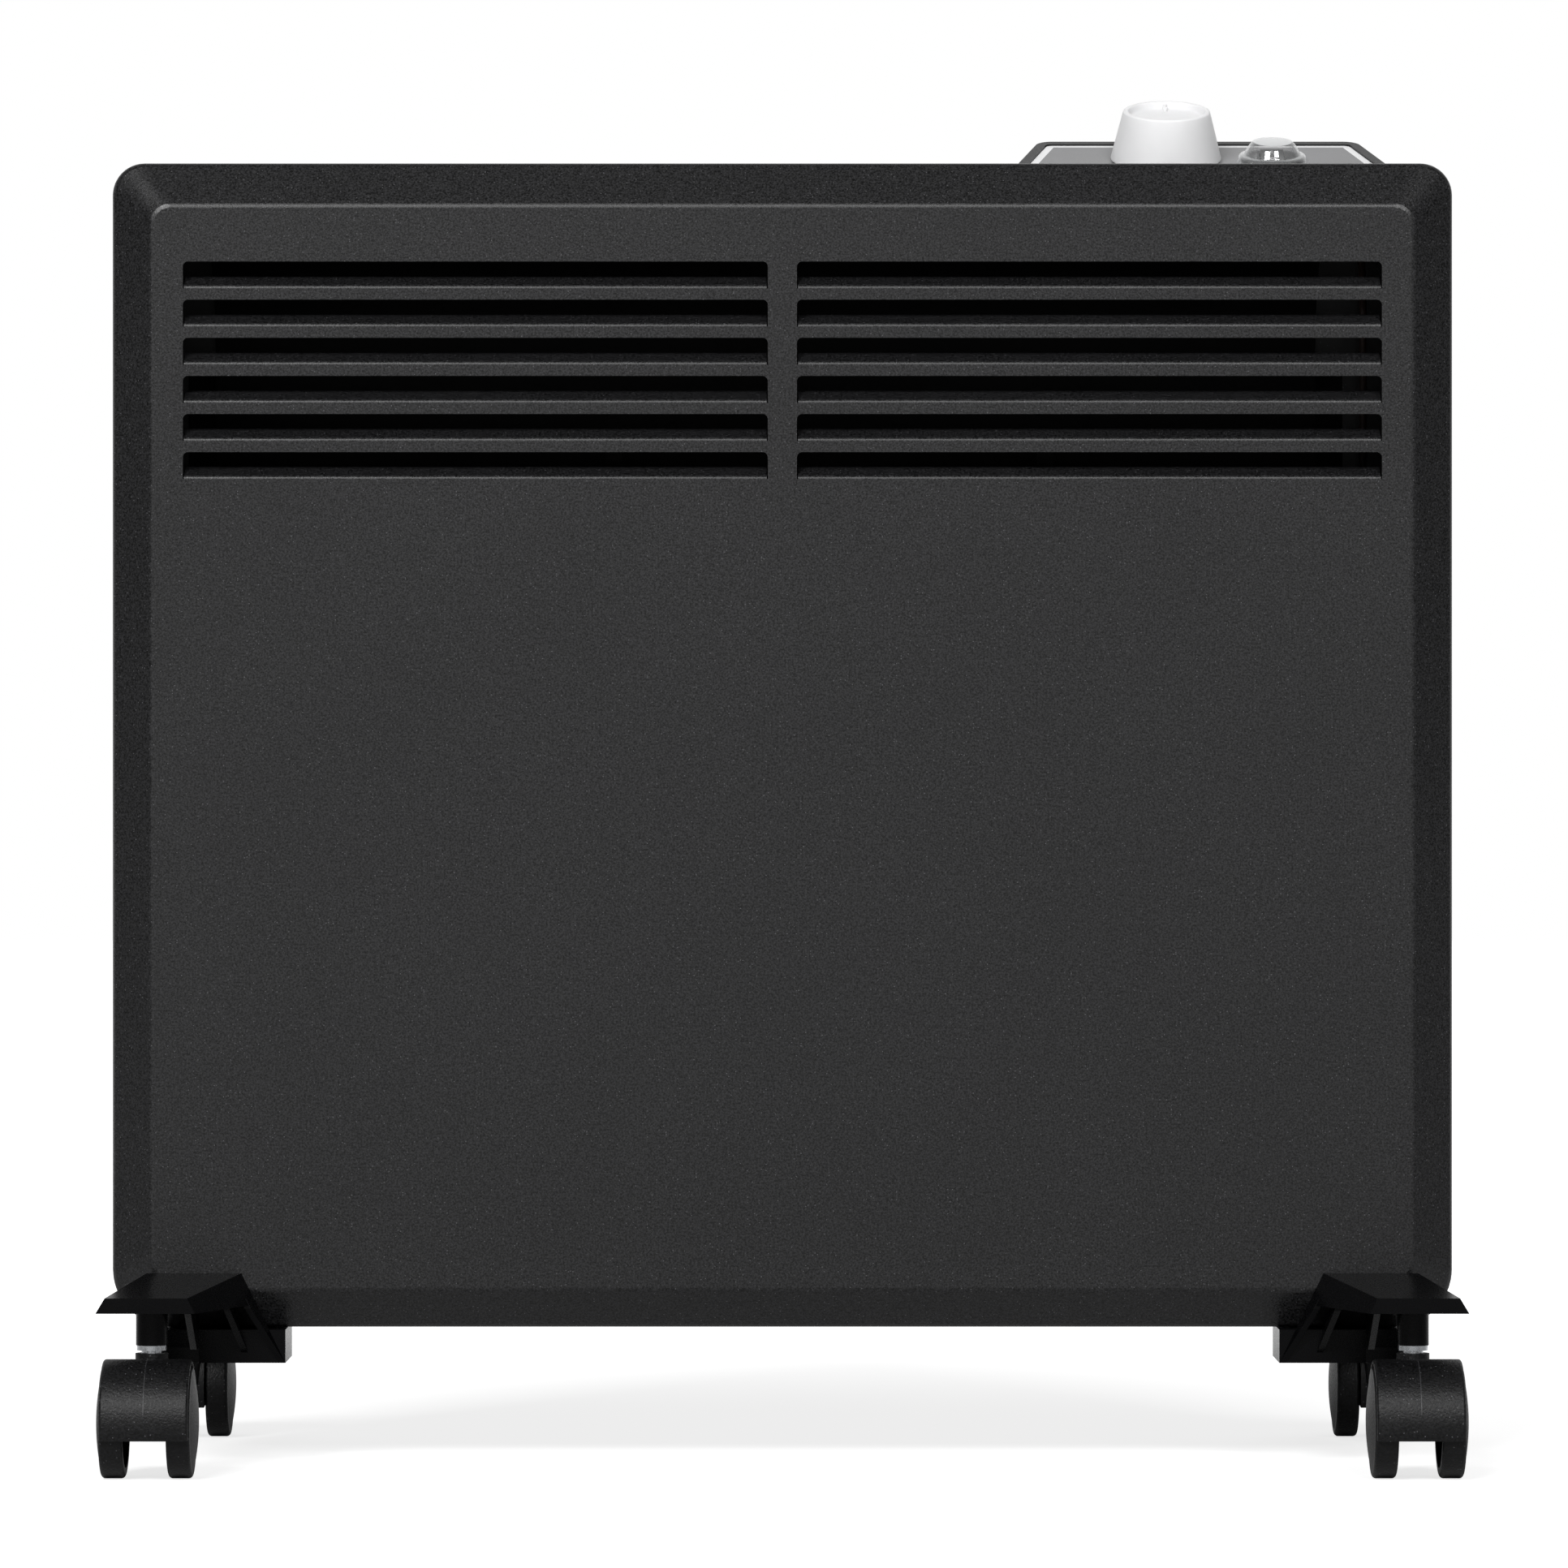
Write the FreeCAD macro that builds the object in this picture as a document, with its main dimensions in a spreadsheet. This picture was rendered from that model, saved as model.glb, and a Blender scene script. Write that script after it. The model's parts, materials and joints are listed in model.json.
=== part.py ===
import FreeCAD, Part
import math
import os
import Sketcher
from types import SimpleNamespace

# A floor-standing convector heater on two wheeled feet.
# Frame: X to the right seen from the front, the front faces -Y, Z up from the floor.
# The origin lies on the floor under the middle of the heater. Lengths in mm, angles in degrees.

SIZES = {
    # front panel, a pressed steel tray with a raised field
    "casing_depth": 83.0,
    "ground_clearance": 47.1,
    "panel_width": 462.0,
    "panel_height": 401.3,
    "panel_sheet": 1.0,
    "panel_corner": 11.0,
    "panel_corner_low": 20.0,
    "border_side": 14.0,
    "border_top": 15.3,
    "border_bottom": 13.2,
    "field_rise": 10.0,
    "field_corner": 7.0,
    "field_corner_low": 12.0,
    "field_bend": 3.0,
    "rim_bend": 3.0,
    "panel_wall_depth": 20.0,
    "panel_flange": 10.0,
    # louvred air outlets in the field
    "slot_rows": 6,
    "slot_margin": 11.0,
    "slot_height": 9.3,
    "slot_pitch": 13.1,
    "slot_drop": 19.3,
    "slot_corner": 1.8,
    "slot_mullion": 10.0,
    "lip_bend": 1.7,
    "lip_turn": 66.0,
    "lip_reach": 7.4,
    "lip_side_gap": 0.4,
    # rear casing, a steel box with an outward flange
    "casing_inset": 10.5,
    "casing_sheet": 0.8,
    "casing_corner": 6.0,
    "casing_corner_low": 11.0,
    "casing_rear_bend": 3.0,
    "casing_flange_gap": 0.5,
    "inlet_rows": 3,
    "inlet_columns": 8,
    "inlet_length": 26.0,
    "inlet_width": 5.0,
    "inlet_pitch_across": 36.0,
    "inlet_pitch_back": 11.0,
    "inlet_setback": 8.0,
    "bracket_slot_spacing_across": 240.0,
    "bracket_slot_spacing_up": 180.0,
    "bracket_slot_rise": 212.9,
    "bracket_slot_radius": 2.75,
    "bracket_slot_length": 14.0,
    # screws
    "screw_head_radius": 3.0,
    "screw_head_height": 1.6,
    "screw_shank_radius": 1.45,
    "screw_shank_length": 6.0,
    "screw_hole_gap": 0.1,
    "screw_recess_length": 3.4,
    "screw_recess_width": 0.7,
    "screw_recess_depth": 0.9,
    "screw_edge_inset": 6.5,
    "side_screw_rows": 4,
    "side_screw_low": 60.0,
    "side_screw_high": 40.0,
    "end_screw_pitch": 112.0,
    # heat shield
    "shield_sheet": 0.6,
    "shield_standoff": 6.4,
    "shield_left_inset": 31.0,
    "shield_right_inset": 43.0,
    "shield_foot": 10.0,
    "shield_rise": 142.9,
    "shield_bend": 40.0,
    "shield_top_drop": 15.7,
    "shield_front_gap": 4.0,
    "hook_width": 6.0,
    "hook_left": 59.0,
    "hook_right": 92.0,
    "hook_dip": 2.6,
    "hook_drop": 8.0,
    "hook_reach": 26.0,
    # heating element
    "element_rise": 105.9,
    "element_back": 4.0,
    "element_end_inset": 66.0,
    "element_core_radius": 8.0,
    "element_wing_span": 52.0,
    "element_wing_sheet": 2.2,
    "element_wing_angle": 32.0,
    "element_rib_height": 16.0,
    "element_rib_sheet": 1.6,
    "element_rib_place": 17.0,
    "rod_radius": 4.0,
    "rod_gap": 0.05,
    "rod_overhang": 16.0,
    "insulator_radius": 6.0,
    "insulator_length": 9.0,
    "terminal_radius": 1.6,
    "terminal_length": 7.0,
    "bracket_sheet": 1.2,
    "bracket_offset": 5.0,
    "bracket_half_height": 14.0,
    "bracket_reach": 10.0,
    "bracket_foot": 14.0,
    # thermal cut-out on the shield
    "cutout_inset": 71.0,
    "cutout_rise": 182.9,
    "cutout_radius": 8.0,
    "cutout_depth": 7.0,
    "cutout_tab_width": 6.3,
    "cutout_tab_sheet": 0.8,
    "cutout_tab_length": 8.0,
    "cutout_tab_spacing": 9.0,
    # tip-over switch on the rear wall
    "tip_inset": 101.0,
    "tip_rise": 22.9,
    "tip_width": 30.0,
    "tip_depth": 30.0,
    "tip_tall": 38.0,
    "tip_wall": 1.6,
    "tip_pin_radius": 1.0,
    "tip_pin_gap": 0.05,
    "tip_hub_radius": 3.0,
    "tip_hub_length": 8.0,
    "tip_arm_width": 3.0,
    "tip_bob_radius": 4.0,
    "tip_bob_length": 12.0,
    "tip_bob_drop": 18.0,
    "tip_pin_drop": 8.0,
    # terminal block, earth screw and cable gland
    "block_inset": 81.0,
    "block_rise": 48.9,
    "block_width": 33.0,
    "block_depth": 13.0,
    "block_tall": 16.0,
    "block_bore_gap": 0.05,
    "block_pitch": 10.0,
    "earth_inset": 119.0,
    "earth_radius": 2.0,
    "earth_length": 12.0,
    "earth_head": 4.0,
    "earth_head_height": 2.5,
    "gland_rise": 30.9,
    "gland_bore": 3.7,
    "gland_radius": 6.5,
    "gland_flange": 9.0,
    "gland_flange_length": 3.0,
    "gland_nose": 6.0,
    "gland_nose_radius": 5.6,
    "gland_nut_radius": 9.0,
    "gland_nut_length": 4.0,
    "gland_fit": 0.1,
    # internal leads
    "lead_radius": 1.3,
    "lead_bend": 6.0,
    "lead_sunk": 5.0,
    "lead_headroom": 3.0,
    "corridor_inset": 27.0,
    "corridor_pitch": 4.5,
    # control unit on top, sloping down to the front
    "control_inset": 84.3,
    "control_rear_gap": 1.5,
    "control_depth": 49.0,
    "control_rear_width": 111.9,
    "control_flare": 0.265,
    "control_slope": 18.3,
    "control_rise": 13.4,
    "control_wall": 3.4,
    "control_corner": 6.0,
    "control_ledge": 1.2,
    "plate_recess": 0.6,
    "plate_sheet": 1.6,
    "plate_gap": 0.15,
    "dial_setback": 26.5,
    "control_boss_radius": 4.0,
    "control_screw_inset": 12.1,
    "window_side_gap": 3.0,
    "window_ledge_gap": 1.0,
    # thermostat and its knob
    "knob_offset": 12.3,
    "knob_base_radius": 19.5,
    "knob_top_radius": 15.1,
    "knob_height": 17.5,
    "knob_lift": 0.6,
    "knob_rim": 1.8,
    "knob_dish": 2.6,
    "knob_wall": 2.0,
    "knob_edge": 0.8,
    "knob_hub_radius": 5.0,
    "pointer_width": 1.3,
    "pointer_length": 4.2,
    "pointer_rise": 1.6,
    "spindle_radius": 3.0,
    "spindle_gap": 0.05,
    "spindle_seat_gap": 0.02,
    "hub_bushing_gap": 0.6,
    "spindle_height": 12.0,
    "spindle_sunk": 12.0,
    "bushing_radius": 4.75,
    "bushing_height": 5.0,
    "bushing_hole_gap": 0.2,
    "nut_across_flats": 14.0,
    "nut_height": 2.4,
    "nut_gap": 0.05,
    "thermostat_width": 31.0,
    "thermostat_length": 29.0,
    "thermostat_depth": 16.0,
    "terminal_row": 7.0,
    # round rocker switch under its clear boot
    "switch_offset": 25.0,
    "switch_barrel_radius": 9.8,
    "switch_barrel_depth": 16.0,
    "switch_hole_gap": 0.2,
    "bezel_radius": 11.0,
    "bezel_height": 1.2,
    "rocker_length": 11.0,
    "rocker_width": 8.0,
    "rocker_rise": 1.0,
    "rocker_dip": 0.33,
    "rocker_sunk": 2.6,
    "rocker_gap": 0.4,
    "rocker_tilt": 8.0,
    "rocker_pin_radius": 1.2,
    "rocker_pin_gap": 0.05,
    "rocker_pin_reach": 1.4,
    "boot_flange_radius": 12.5,
    "boot_flange_height": 2.6,
    "boot_base_radius": 9.7,
    "boot_cap_radius": 5.4,
    "boot_height": 7.4,
    "boot_wall": 0.7,
    "boot_bend": 3.0,
    # feet
    "toe_clear": 0.5,
    "toe_reach": 53.0,
    "toe_low": 55.5,
    "toe_ridge": 66.2,
    "toe_brow": 60.7,
    "toe_ridge_inner_inset": 45.1,
    "toe_ridge_outer_inset": 12.6,
    "toe_brow_inner_inset": 30.4,
    "toe_brow_outer_inset": 2.6,
    "toe_flare_inner": 0.494,
    "toe_flare_outer": 0.6,
    "toe_wall": 2.4,
    "foot_inner_inset": 60.3,
    "foot_rear_inner_inset": 57.0,
    "foot_outer_inset": 19.0,
    "foot_low": 35.4,
    "foot_wall": 2.6,
    "foot_panel_gap": 0.3,
    "block_inner_end": 4.5,
    "block_waist": 10.0,
    "saddle_front_gap": 1.2,
    "saddle_rear_gap": 2.5,
    "saddle_inner_inset": 55.0,
    "rib_sheet": 2.2,
    "rib_tip": 1.0,
    "rib_outer_inset": 30.6,
    "rib_outer_reach": 38.0,
    "rib_middle_inset": 47.4,
    "rib_middle_low": 39.0,
    "rib_middle_reach": 20.0,
    "rib_middle_lean": 0.3,
    "rib_inner_reach": 7.0,
    "swing_gap": 0.6,
    "foot_screw_pitch_across": 20.0,
    "foot_screw_pitch_back": 24.0,
    # casters
    "stem_inset": 17.0,
    "stem_spread": 75.0,
    "stem_radius": 3.5,
    "stem_gap": 0.05,
    "stem_collar_radius": 5.1,
    "stem_collar_height": 1.7,
    "stem_neck": 1.0,
    "stem_rise": 14.0,
    "socket_radius": 5.4,
    "socket_fit": 0.02,
    "swivel_offset": 18.0,
    "wheel_radius": 19.0,
    "wheel_gap": 14.6,
    "tread_width": 8.1,
    "tread_edge": 1.4,
    "wheel_crown": 1.75,
    "crown_edge": 1.2,
    "wheel_recess": 4.0,
    "wheel_recess_inner": 6.0,
    "wheel_recess_outer": 15.6,
    "axle_radius": 2.0,
    "axle_gap": 0.05,
    "axle_seat_gap": 0.01,
    "axle_sunk": 7.0,
    "axle_end_gap": 0.4,
    "hood_gap": 0.6,
    "hood_wall": 1.5,
    "hood_half_width": 14.9,
    "hood_edge": 1.0,
    "hood_low_angle": 14.0,
    "hood_back_angle": 35.0,
    "web_gap": 0.3,
    "hood_web_low": 11.4,
    "hood_web_low_outer": 14.2,
    "hood_boss_radius": 5.6,
    "hood_boss_top": 41.0,
    "hood_boss_low": 20.0,
    "stem_sunk": 16.0,
}


class Size:
    """A number together with the sheet expression that gives it."""

    def __init__(self, value, text):
        self.value = value
        self.text = text

    def __add__(self, other):
        return join(self, "+", other, lambda a, b: a + b)

    def __radd__(self, other):
        return join(other, "+", self, lambda a, b: a + b)

    def __sub__(self, other):
        return join(self, "-", other, lambda a, b: a - b)

    def __rsub__(self, other):
        return join(other, "-", self, lambda a, b: a - b)

    def __mul__(self, other):
        return join(self, "*", other, lambda a, b: a * b)

    def __rmul__(self, other):
        return join(other, "*", self, lambda a, b: a * b)

    def __truediv__(self, other):
        return join(self, "/", other, lambda a, b: a / b)

    def __neg__(self):
        return Size(-self.value, f"(0 - {self.text})")


def as_size(amount):
    """A plain number as a Size, and a Size as it is."""
    if isinstance(amount, Size):
        return amount
    return Size(float(amount), f"({float(amount)!r})")


def join(left, sign, right, work):
    """The Size that two amounts give with an arithmetic sign."""
    left = as_size(left)
    right = as_size(right)
    return Size(work(left.value, right.value), f"({left.text} {sign} {right.text})")


def sine(angle):
    """Sine of an angle in degrees."""
    return Size(math.sin(math.radians(angle.value)), f"sin({angle.text})")


def cosine(angle):
    """Cosine of an angle in degrees."""
    return Size(math.cos(math.radians(angle.value)), f"cos({angle.text})")


def tangent(angle):
    """Tangent of an angle in degrees."""
    return Size(math.tan(math.radians(angle.value)), f"tan({angle.text})")


def root(amount):
    """Square root."""
    return Size(math.sqrt(amount.value), f"sqrt({amount.text})")


def angle_of(ratio):
    """Angle in degrees whose tangent is the ratio."""
    return Size(math.degrees(math.atan(ratio.value)), f"(atan({ratio.text}) / 1 deg)")


doc = FreeCAD.newDocument("convector_heater")
sheet = doc.addObject("Spreadsheet::Sheet", "Sizes")
for row, (name, number) in enumerate(SIZES.items(), 1):
    sheet.set(f"A{row}", name)
    sheet.set(f"B{row}", str(number))
    sheet.setAlias(f"B{row}", name)
doc.recompute()
s = SimpleNamespace(**{name: Size(number, f"Sizes.{name}") for name, number in SIZES.items()})

pieces = []

# Turns that bring an upright primitive's axis onto X, Y or Z
AXIS_TURNS = {
    "X": FreeCAD.Rotation(FreeCAD.Vector(0, 1, 0), 90),
    "Y": FreeCAD.Rotation(FreeCAD.Vector(1, 0, 0), -90),
    "Z": FreeCAD.Rotation(),
}
OVERSHOOT = 2.0
FULL_TURN = 360.0


def piece(label, thing):
    """Name an object as one finished piece of the heater."""
    thing.Label = label
    pieces.append(thing)
    return thing


def bind(thing, prop, amount):
    """Tie a property to the sheet."""
    thing.setExpression(prop, as_size(amount).text)


def place(thing, point):
    """Tie an object's position to the sheet."""
    for axis, amount in zip("xyz", point):
        bind(thing, f"Placement.Base.{axis}", amount)


def tilt(thing, angle):
    """Turn an object about X by an angle of the sheet."""
    thing.Placement = FreeCAD.Placement(
        FreeCAD.Vector(), FreeCAD.Rotation(FreeCAD.Vector(1, 0, 0), as_size(angle).value))
    bind(thing, "Placement.Rotation.Angle", angle)


def box(x, y, z):
    """A block between two values on each axis."""
    block = doc.addObject("Part::Box", "block")
    for prop, (low, high) in zip(("Length", "Width", "Height"), (x, y, z)):
        bind(block, prop, as_size(high) - low)
    place(block, (x[0], y[0], z[0]))
    return block


def tilted_box(corner, extents, angle):
    """A block of given extents whose low corner is a point, turned about X."""
    block = doc.addObject("Part::Box", "block")
    for prop, extent in zip(("Length", "Width", "Height"), extents):
        bind(block, prop, extent)
    tilt(block, angle)
    place(block, corner)
    return block


def cylinder(radius, start, length, axis="Z", angle=None):
    """A round bar from a start point along an axis, or along Z turned about X."""
    bar = doc.addObject("Part::Cylinder", "bar")
    bind(bar, "Radius", radius)
    bind(bar, "Height", length)
    bar.Placement = FreeCAD.Placement(FreeCAD.Vector(), AXIS_TURNS[axis])
    if angle is not None:
        tilt(bar, angle)
    place(bar, start)
    return bar


def fuse(*things):
    """Several objects joined into one solid."""
    joined = doc.addObject("Part::MultiFuse", "joined")
    joined.Shapes = list(things)
    joined.Refine = True
    return joined


def group(things):
    """Several separate solids in one object."""
    set_of = doc.addObject("Part::Compound", "set")
    set_of.Links = list(things)
    return set_of


def cut(base, *tools):
    """One object less the others."""
    result = doc.addObject("Part::Cut", "cut")
    result.Base = base
    result.Tool = tools[0] if len(tools) == 1 else fuse(*tools)
    return result


def common(one, other):
    """What two objects share."""
    shared = doc.addObject("Part::MultiCommon", "shared")
    shared.Shapes = [one, other]
    return shared


def mirrored(source, normal):
    """The mirror image of an object in a plane through the origin."""
    image = doc.addObject("Part::Mirroring", "image")
    image.Source = source
    image.Normal = normal
    return image


def rounded(base, radius, wanted):
    """An object with the edges that a test picks rounded."""
    doc.recompute()
    result = doc.addObject("Part::Fillet", "rounded")
    result.Base = base
    numbered = enumerate(base.Shape.Edges, 1)
    result.Edges = [(number, radius.value, radius.value) for number, edge in numbered if wanted(edge)]
    return result


def all_at(axis, amount, reach=1e-4):
    """A test for edges that lie wholly at one value of an axis."""
    def test(edge):
        low = getattr(edge.BoundBox, axis + "Min")
        high = getattr(edge.BoundBox, axis + "Max")
        return abs(low - amount.value) < reach and abs(high - amount.value) < reach
    return test


def along_axis(axis):
    """A test for straight edges that run along one axis."""
    def test(edge):
        lengths = {name: getattr(edge.BoundBox, name + "Length") for name in "XYZ"}
        return all(length < 1e-4 for name, length in lengths.items() if name != axis)
    return test


def arc_between(start, end, radius):
    """The arc from one point to the next, to the left of its chord where the radius is positive."""
    first, last = (start, end) if radius > 0 else (end, start)
    chord = last - first
    middle = (first + last) / 2
    left = FreeCAD.Vector(-chord.y, chord.x, 0).normalize()
    centre = middle + left * math.sqrt(max(radius ** 2 - (chord.Length / 2) ** 2, 0.0))
    angles = [math.atan2(point.y - centre.y, point.x - centre.x) for point in (first, last)]
    if angles[1] < angles[0]:
        angles[1] += 2 * math.pi
    return Part.ArcOfCircle(Part.Circle(centre, FreeCAD.Vector(0, 0, 1), abs(radius)), *angles)


def draw(sketch, outline):
    """Draw a closed outline, every corner pinned to the sheet.

    A corner is (u, v), or (u, v, radius) where the stretch that arrives there is an arc:
    anticlockwise for a positive radius, clockwise for a negative one.
    """
    corners = [[as_size(amount) for amount in corner] for corner in outline]
    starts = []
    for index, corner in enumerate(corners):
        following = corners[(index + 1) % len(corners)]
        here = FreeCAD.Vector(corner[0].value, corner[1].value, 0)
        there = FreeCAD.Vector(following[0].value, following[1].value, 0)
        if len(following) == 3:
            sketch.addGeometry(arc_between(here, there, following[2].value), False)
            starts.append(1 if following[2].value > 0 else 2)
        else:
            sketch.addGeometry(Part.LineSegment(here, there), False)
            starts.append(1)
    for index, corner in enumerate(corners):
        following = (index + 1) % len(corners)
        sketch.addConstraint(Sketcher.Constraint(
            "Coincident", index, 3 - starts[index], following, starts[following]))
        for kind, amount in zip(("DistanceX", "DistanceY"), corner):
            number = sketch.addConstraint(Sketcher.Constraint(
                kind, -1, 1, index, starts[index], amount.value))
            sketch.setExpression(f"Constraints[{number}]", amount.text)
        if len(corners[following]) == 3:
            bend = corners[following][2]
            if bend.value < 0:
                bend = -bend
            number = sketch.addConstraint(Sketcher.Constraint("Radius", index, bend.value))
            sketch.setExpression(f"Constraints[{number}]", bend.text)


def body_sketch(plane, outline, offset=None):
    """A new body and its first sketch, on one of the body's origin planes."""
    body = doc.addObject("PartDesign::Body", "body")
    support = [feature for feature in body.Origin.OriginFeatures if feature.Role == plane + "_Plane"]
    sketch = body.newObject("Sketcher::SketchObject", "outline")
    sketch.AttachmentSupport = [(support[0], "")]
    sketch.MapMode = "FlatFace"
    if offset is not None:
        bind(sketch, "AttachmentOffset.Base.z", offset)
    draw(sketch, outline)
    return body, sketch


def prism(plane, outline, low, high):
    """An outline on a plane drawn out between two values of the axis square to it."""
    low = as_size(low)
    high = as_size(high)
    offset = -high if plane == "XZ" else low
    body, sketch = body_sketch(plane, outline, offset)
    pad = body.newObject("PartDesign::Pad", "pad")
    pad.Profile = sketch
    bind(pad, "Length", high - low)
    return body


def turned(profile, about="V_Axis"):
    """A profile in the XZ plane turned about the upright axis, or about X."""
    body, sketch = body_sketch("XZ", profile)
    turn = body.newObject("PartDesign::Revolution", "turned")
    turn.Profile = sketch
    turn.ReferenceAxis = (sketch, [about])
    turn.Angle = FULL_TURN
    return body


def upright_sketch(outline, y):
    """A free sketch in a plane square to Y."""
    sketch = doc.addObject("Sketcher::SketchObject", "section")
    sketch.Placement = FreeCAD.Placement(
        FreeCAD.Vector(), FreeCAD.Rotation(FreeCAD.Vector(1, 0, 0), 90))
    bind(sketch, "Placement.Base.y", y)
    draw(sketch, outline)
    return sketch


def loft(outline_one, y_one, outline_two, y_two):
    """A solid ruled between two outlines in planes square to Y."""
    solid = doc.addObject("Part::Loft", "loft")
    solid.Sections = [upright_sketch(outline_one, y_one), upright_sketch(outline_two, y_two)]
    solid.Solid = True
    solid.Ruled = True
    return solid


def rounded_rectangle(half, low, high, corner_low, corner_high):
    """Outline of a rectangle about X = 0 with rounded corners, anticlockwise."""
    return [
        (corner_low - half, low, corner_low), (half - corner_low, low),
        (half, low + corner_low, corner_low), (half, high - corner_high),
        (half - corner_high, high, corner_high), (corner_high - half, high),
        (-half, high - corner_high, corner_high), (-half, low + corner_low),
    ]


def panel_outline(inset):
    """Outline of the front panel, drawn in by an inset all round."""
    return rounded_rectangle(half_width - inset, panel_low + inset, panel_high - inset,
                             s.panel_corner_low - inset, s.panel_corner - inset)


def field_outline(inset):
    """Outline of the panel's raised field, drawn in by an inset all round."""
    return rounded_rectangle(field_half - inset, field_low + inset, field_high - inset,
                             s.field_corner_low - inset, s.field_corner - inset)


def casing_outline(inset):
    """Outline of the rear casing's walls, drawn in by an inset all round."""
    return rounded_rectangle(box_half - inset, box_low + inset, box_high - inset,
                             s.casing_corner_low - inset, s.casing_corner - inset)


def lead(label, route):
    """An insulated lead along straight runs joined by tangent arcs."""
    points = [FreeCAD.Vector(*(as_size(amount).value for amount in point)) for point in route]
    bend = s.lead_bend.value
    edges = []
    last = points[0]
    for before, corner, after in zip(points, points[1:], points[2:]):
        inward = (before - corner).normalize()
        outward = (after - corner).normalize()
        half = inward.getAngle(outward) / 2
        setback = bend / math.tan(half)
        start = corner + inward * setback
        end = corner + outward * setback
        centre = corner + (inward + outward).normalize() * (bend / math.sin(half))
        crown = centre + (corner - centre).normalize() * bend
        edges.append(Part.LineSegment(last, start).toShape())
        edges.append(Part.Arc(start, crown, end).toShape())
        last = end
    edges.append(Part.LineSegment(last, points[-1]).toShape())
    path = Part.Wire(edges)
    radius = s.lead_radius.value
    section = Part.Wire(Part.makeCircle(radius, points[0], points[1] - points[0]))
    tube = path.makePipeShell([section], True, False)
    expected = path.Length * math.pi * radius ** 2
    if abs(tube.Volume - expected) > expected / 100:
        raise RuntimeError(f"{label} has volume {tube.Volume:.1f}, not {expected:.1f}")
    whole = doc.addObject("Part::Feature", "lead")
    whole.Shape = tube
    return piece(label, whole)


def screw(head, axis, away):
    """A cross-recessed screw whose head seats at a point; the shank runs away from it along an axis."""
    index = "XYZ".index(axis)
    flats = [other for other in range(3) if other != index]

    def shifted(distance):
        moved = list(head)
        moved[index] = as_size(moved[index]) + distance
        return moved

    top = s.screw_head_height
    if away > 0:
        cap = cylinder(s.screw_head_radius, shifted(-top), top, axis)
        shank = cylinder(s.screw_shank_radius, head, s.screw_shank_length, axis)
        depth = (shifted(-top - OVERSHOOT)[index], shifted(-top + s.screw_recess_depth)[index])
    else:
        cap = cylinder(s.screw_head_radius, head, top, axis)
        shank = cylinder(s.screw_shank_radius, shifted(-s.screw_shank_length), s.screw_shank_length, axis)
        depth = (shifted(top - s.screw_recess_depth)[index], shifted(top + OVERSHOOT)[index])
    bars = []
    for long_side in flats:
        spans = [None, None, None]
        spans[index] = depth
        for side in flats:
            half = (s.screw_recess_length if side == long_side else s.screw_recess_width) / 2
            spans[side] = (head[side] - half, head[side] + half)
        bars.append(box(*spans))
    return cut(fuse(cap, shank), *bars)


def screw_hole(head, axis, reach):
    """The clearance hole of a screw, as a bar that runs both ways from its seat."""
    start = list(head)
    start["XYZ".index(axis)] = as_size(start["XYZ".index(axis)]) - reach
    return cylinder(s.screw_shank_radius + s.screw_hole_gap, start, reach * 2, axis)


# Shared planes and edges of the casing
front = -s.casing_depth / 2
rear = s.casing_depth / 2
edge = front + s.field_rise
panel_back = edge + s.panel_wall_depth
half_width = s.panel_width / 2
panel_low = s.ground_clearance
panel_high = panel_low + s.panel_height
field_low = panel_low + s.border_bottom
field_high = panel_high - s.border_top
field_half = half_width - s.border_side
box_half = half_width - s.casing_inset
box_low = panel_low + s.casing_inset
box_high = panel_high - s.casing_inset
inner_rear = rear - s.casing_sheet
inner_high = box_high - s.casing_sheet
casing_flange_back = panel_back + s.casing_sheet
slot_length = field_half - s.slot_margin - s.slot_mullion / 2
slot_last_top = field_high - s.slot_drop - s.slot_pitch * (SIZES["slot_rows"] - 1)

# Places of the pieces inside, by distance from the casing's sides and lower edge
element_half_length = half_width - s.element_end_inset
element_height = panel_low + s.element_rise
shield_left = half_width - s.shield_left_inset
shield_right = half_width - s.shield_right_inset
shield_low = panel_low + s.shield_rise
hook_low = slot_last_top - s.hook_dip
cutout_across = half_width - s.cutout_inset
cutout_height = panel_low + s.cutout_rise
tip_across = half_width - s.tip_inset
tip_height = panel_low + s.tip_rise
block_across = half_width - s.block_inset
block_height = panel_low + s.block_rise
block_y = inner_rear - s.block_depth / 2
earth_across = half_width - s.earth_inset
gland_height = panel_low + s.gland_rise
gland_length = s.gland_nut_length + s.casing_sheet + s.gland_flange_length + s.gland_nose
bracket_slot_height = panel_low + s.bracket_slot_rise
corridor_across = half_width - s.corridor_inset

# Places along the feet, by distance from the casing's sides
foot_inner = half_width - s.foot_inner_inset
foot_rear_inner = half_width - s.foot_rear_inner_inset
foot_outer = half_width - s.foot_outer_inset
saddle_inner = half_width - s.saddle_inner_inset
stem_across = half_width - s.stem_inset
toe_ridge_inner = half_width - s.toe_ridge_inner_inset
toe_ridge_outer = half_width - s.toe_ridge_outer_inset
toe_brow_inner = half_width - s.toe_brow_inner_inset
toe_brow_outer = half_width - s.toe_brow_outer_inset

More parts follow.
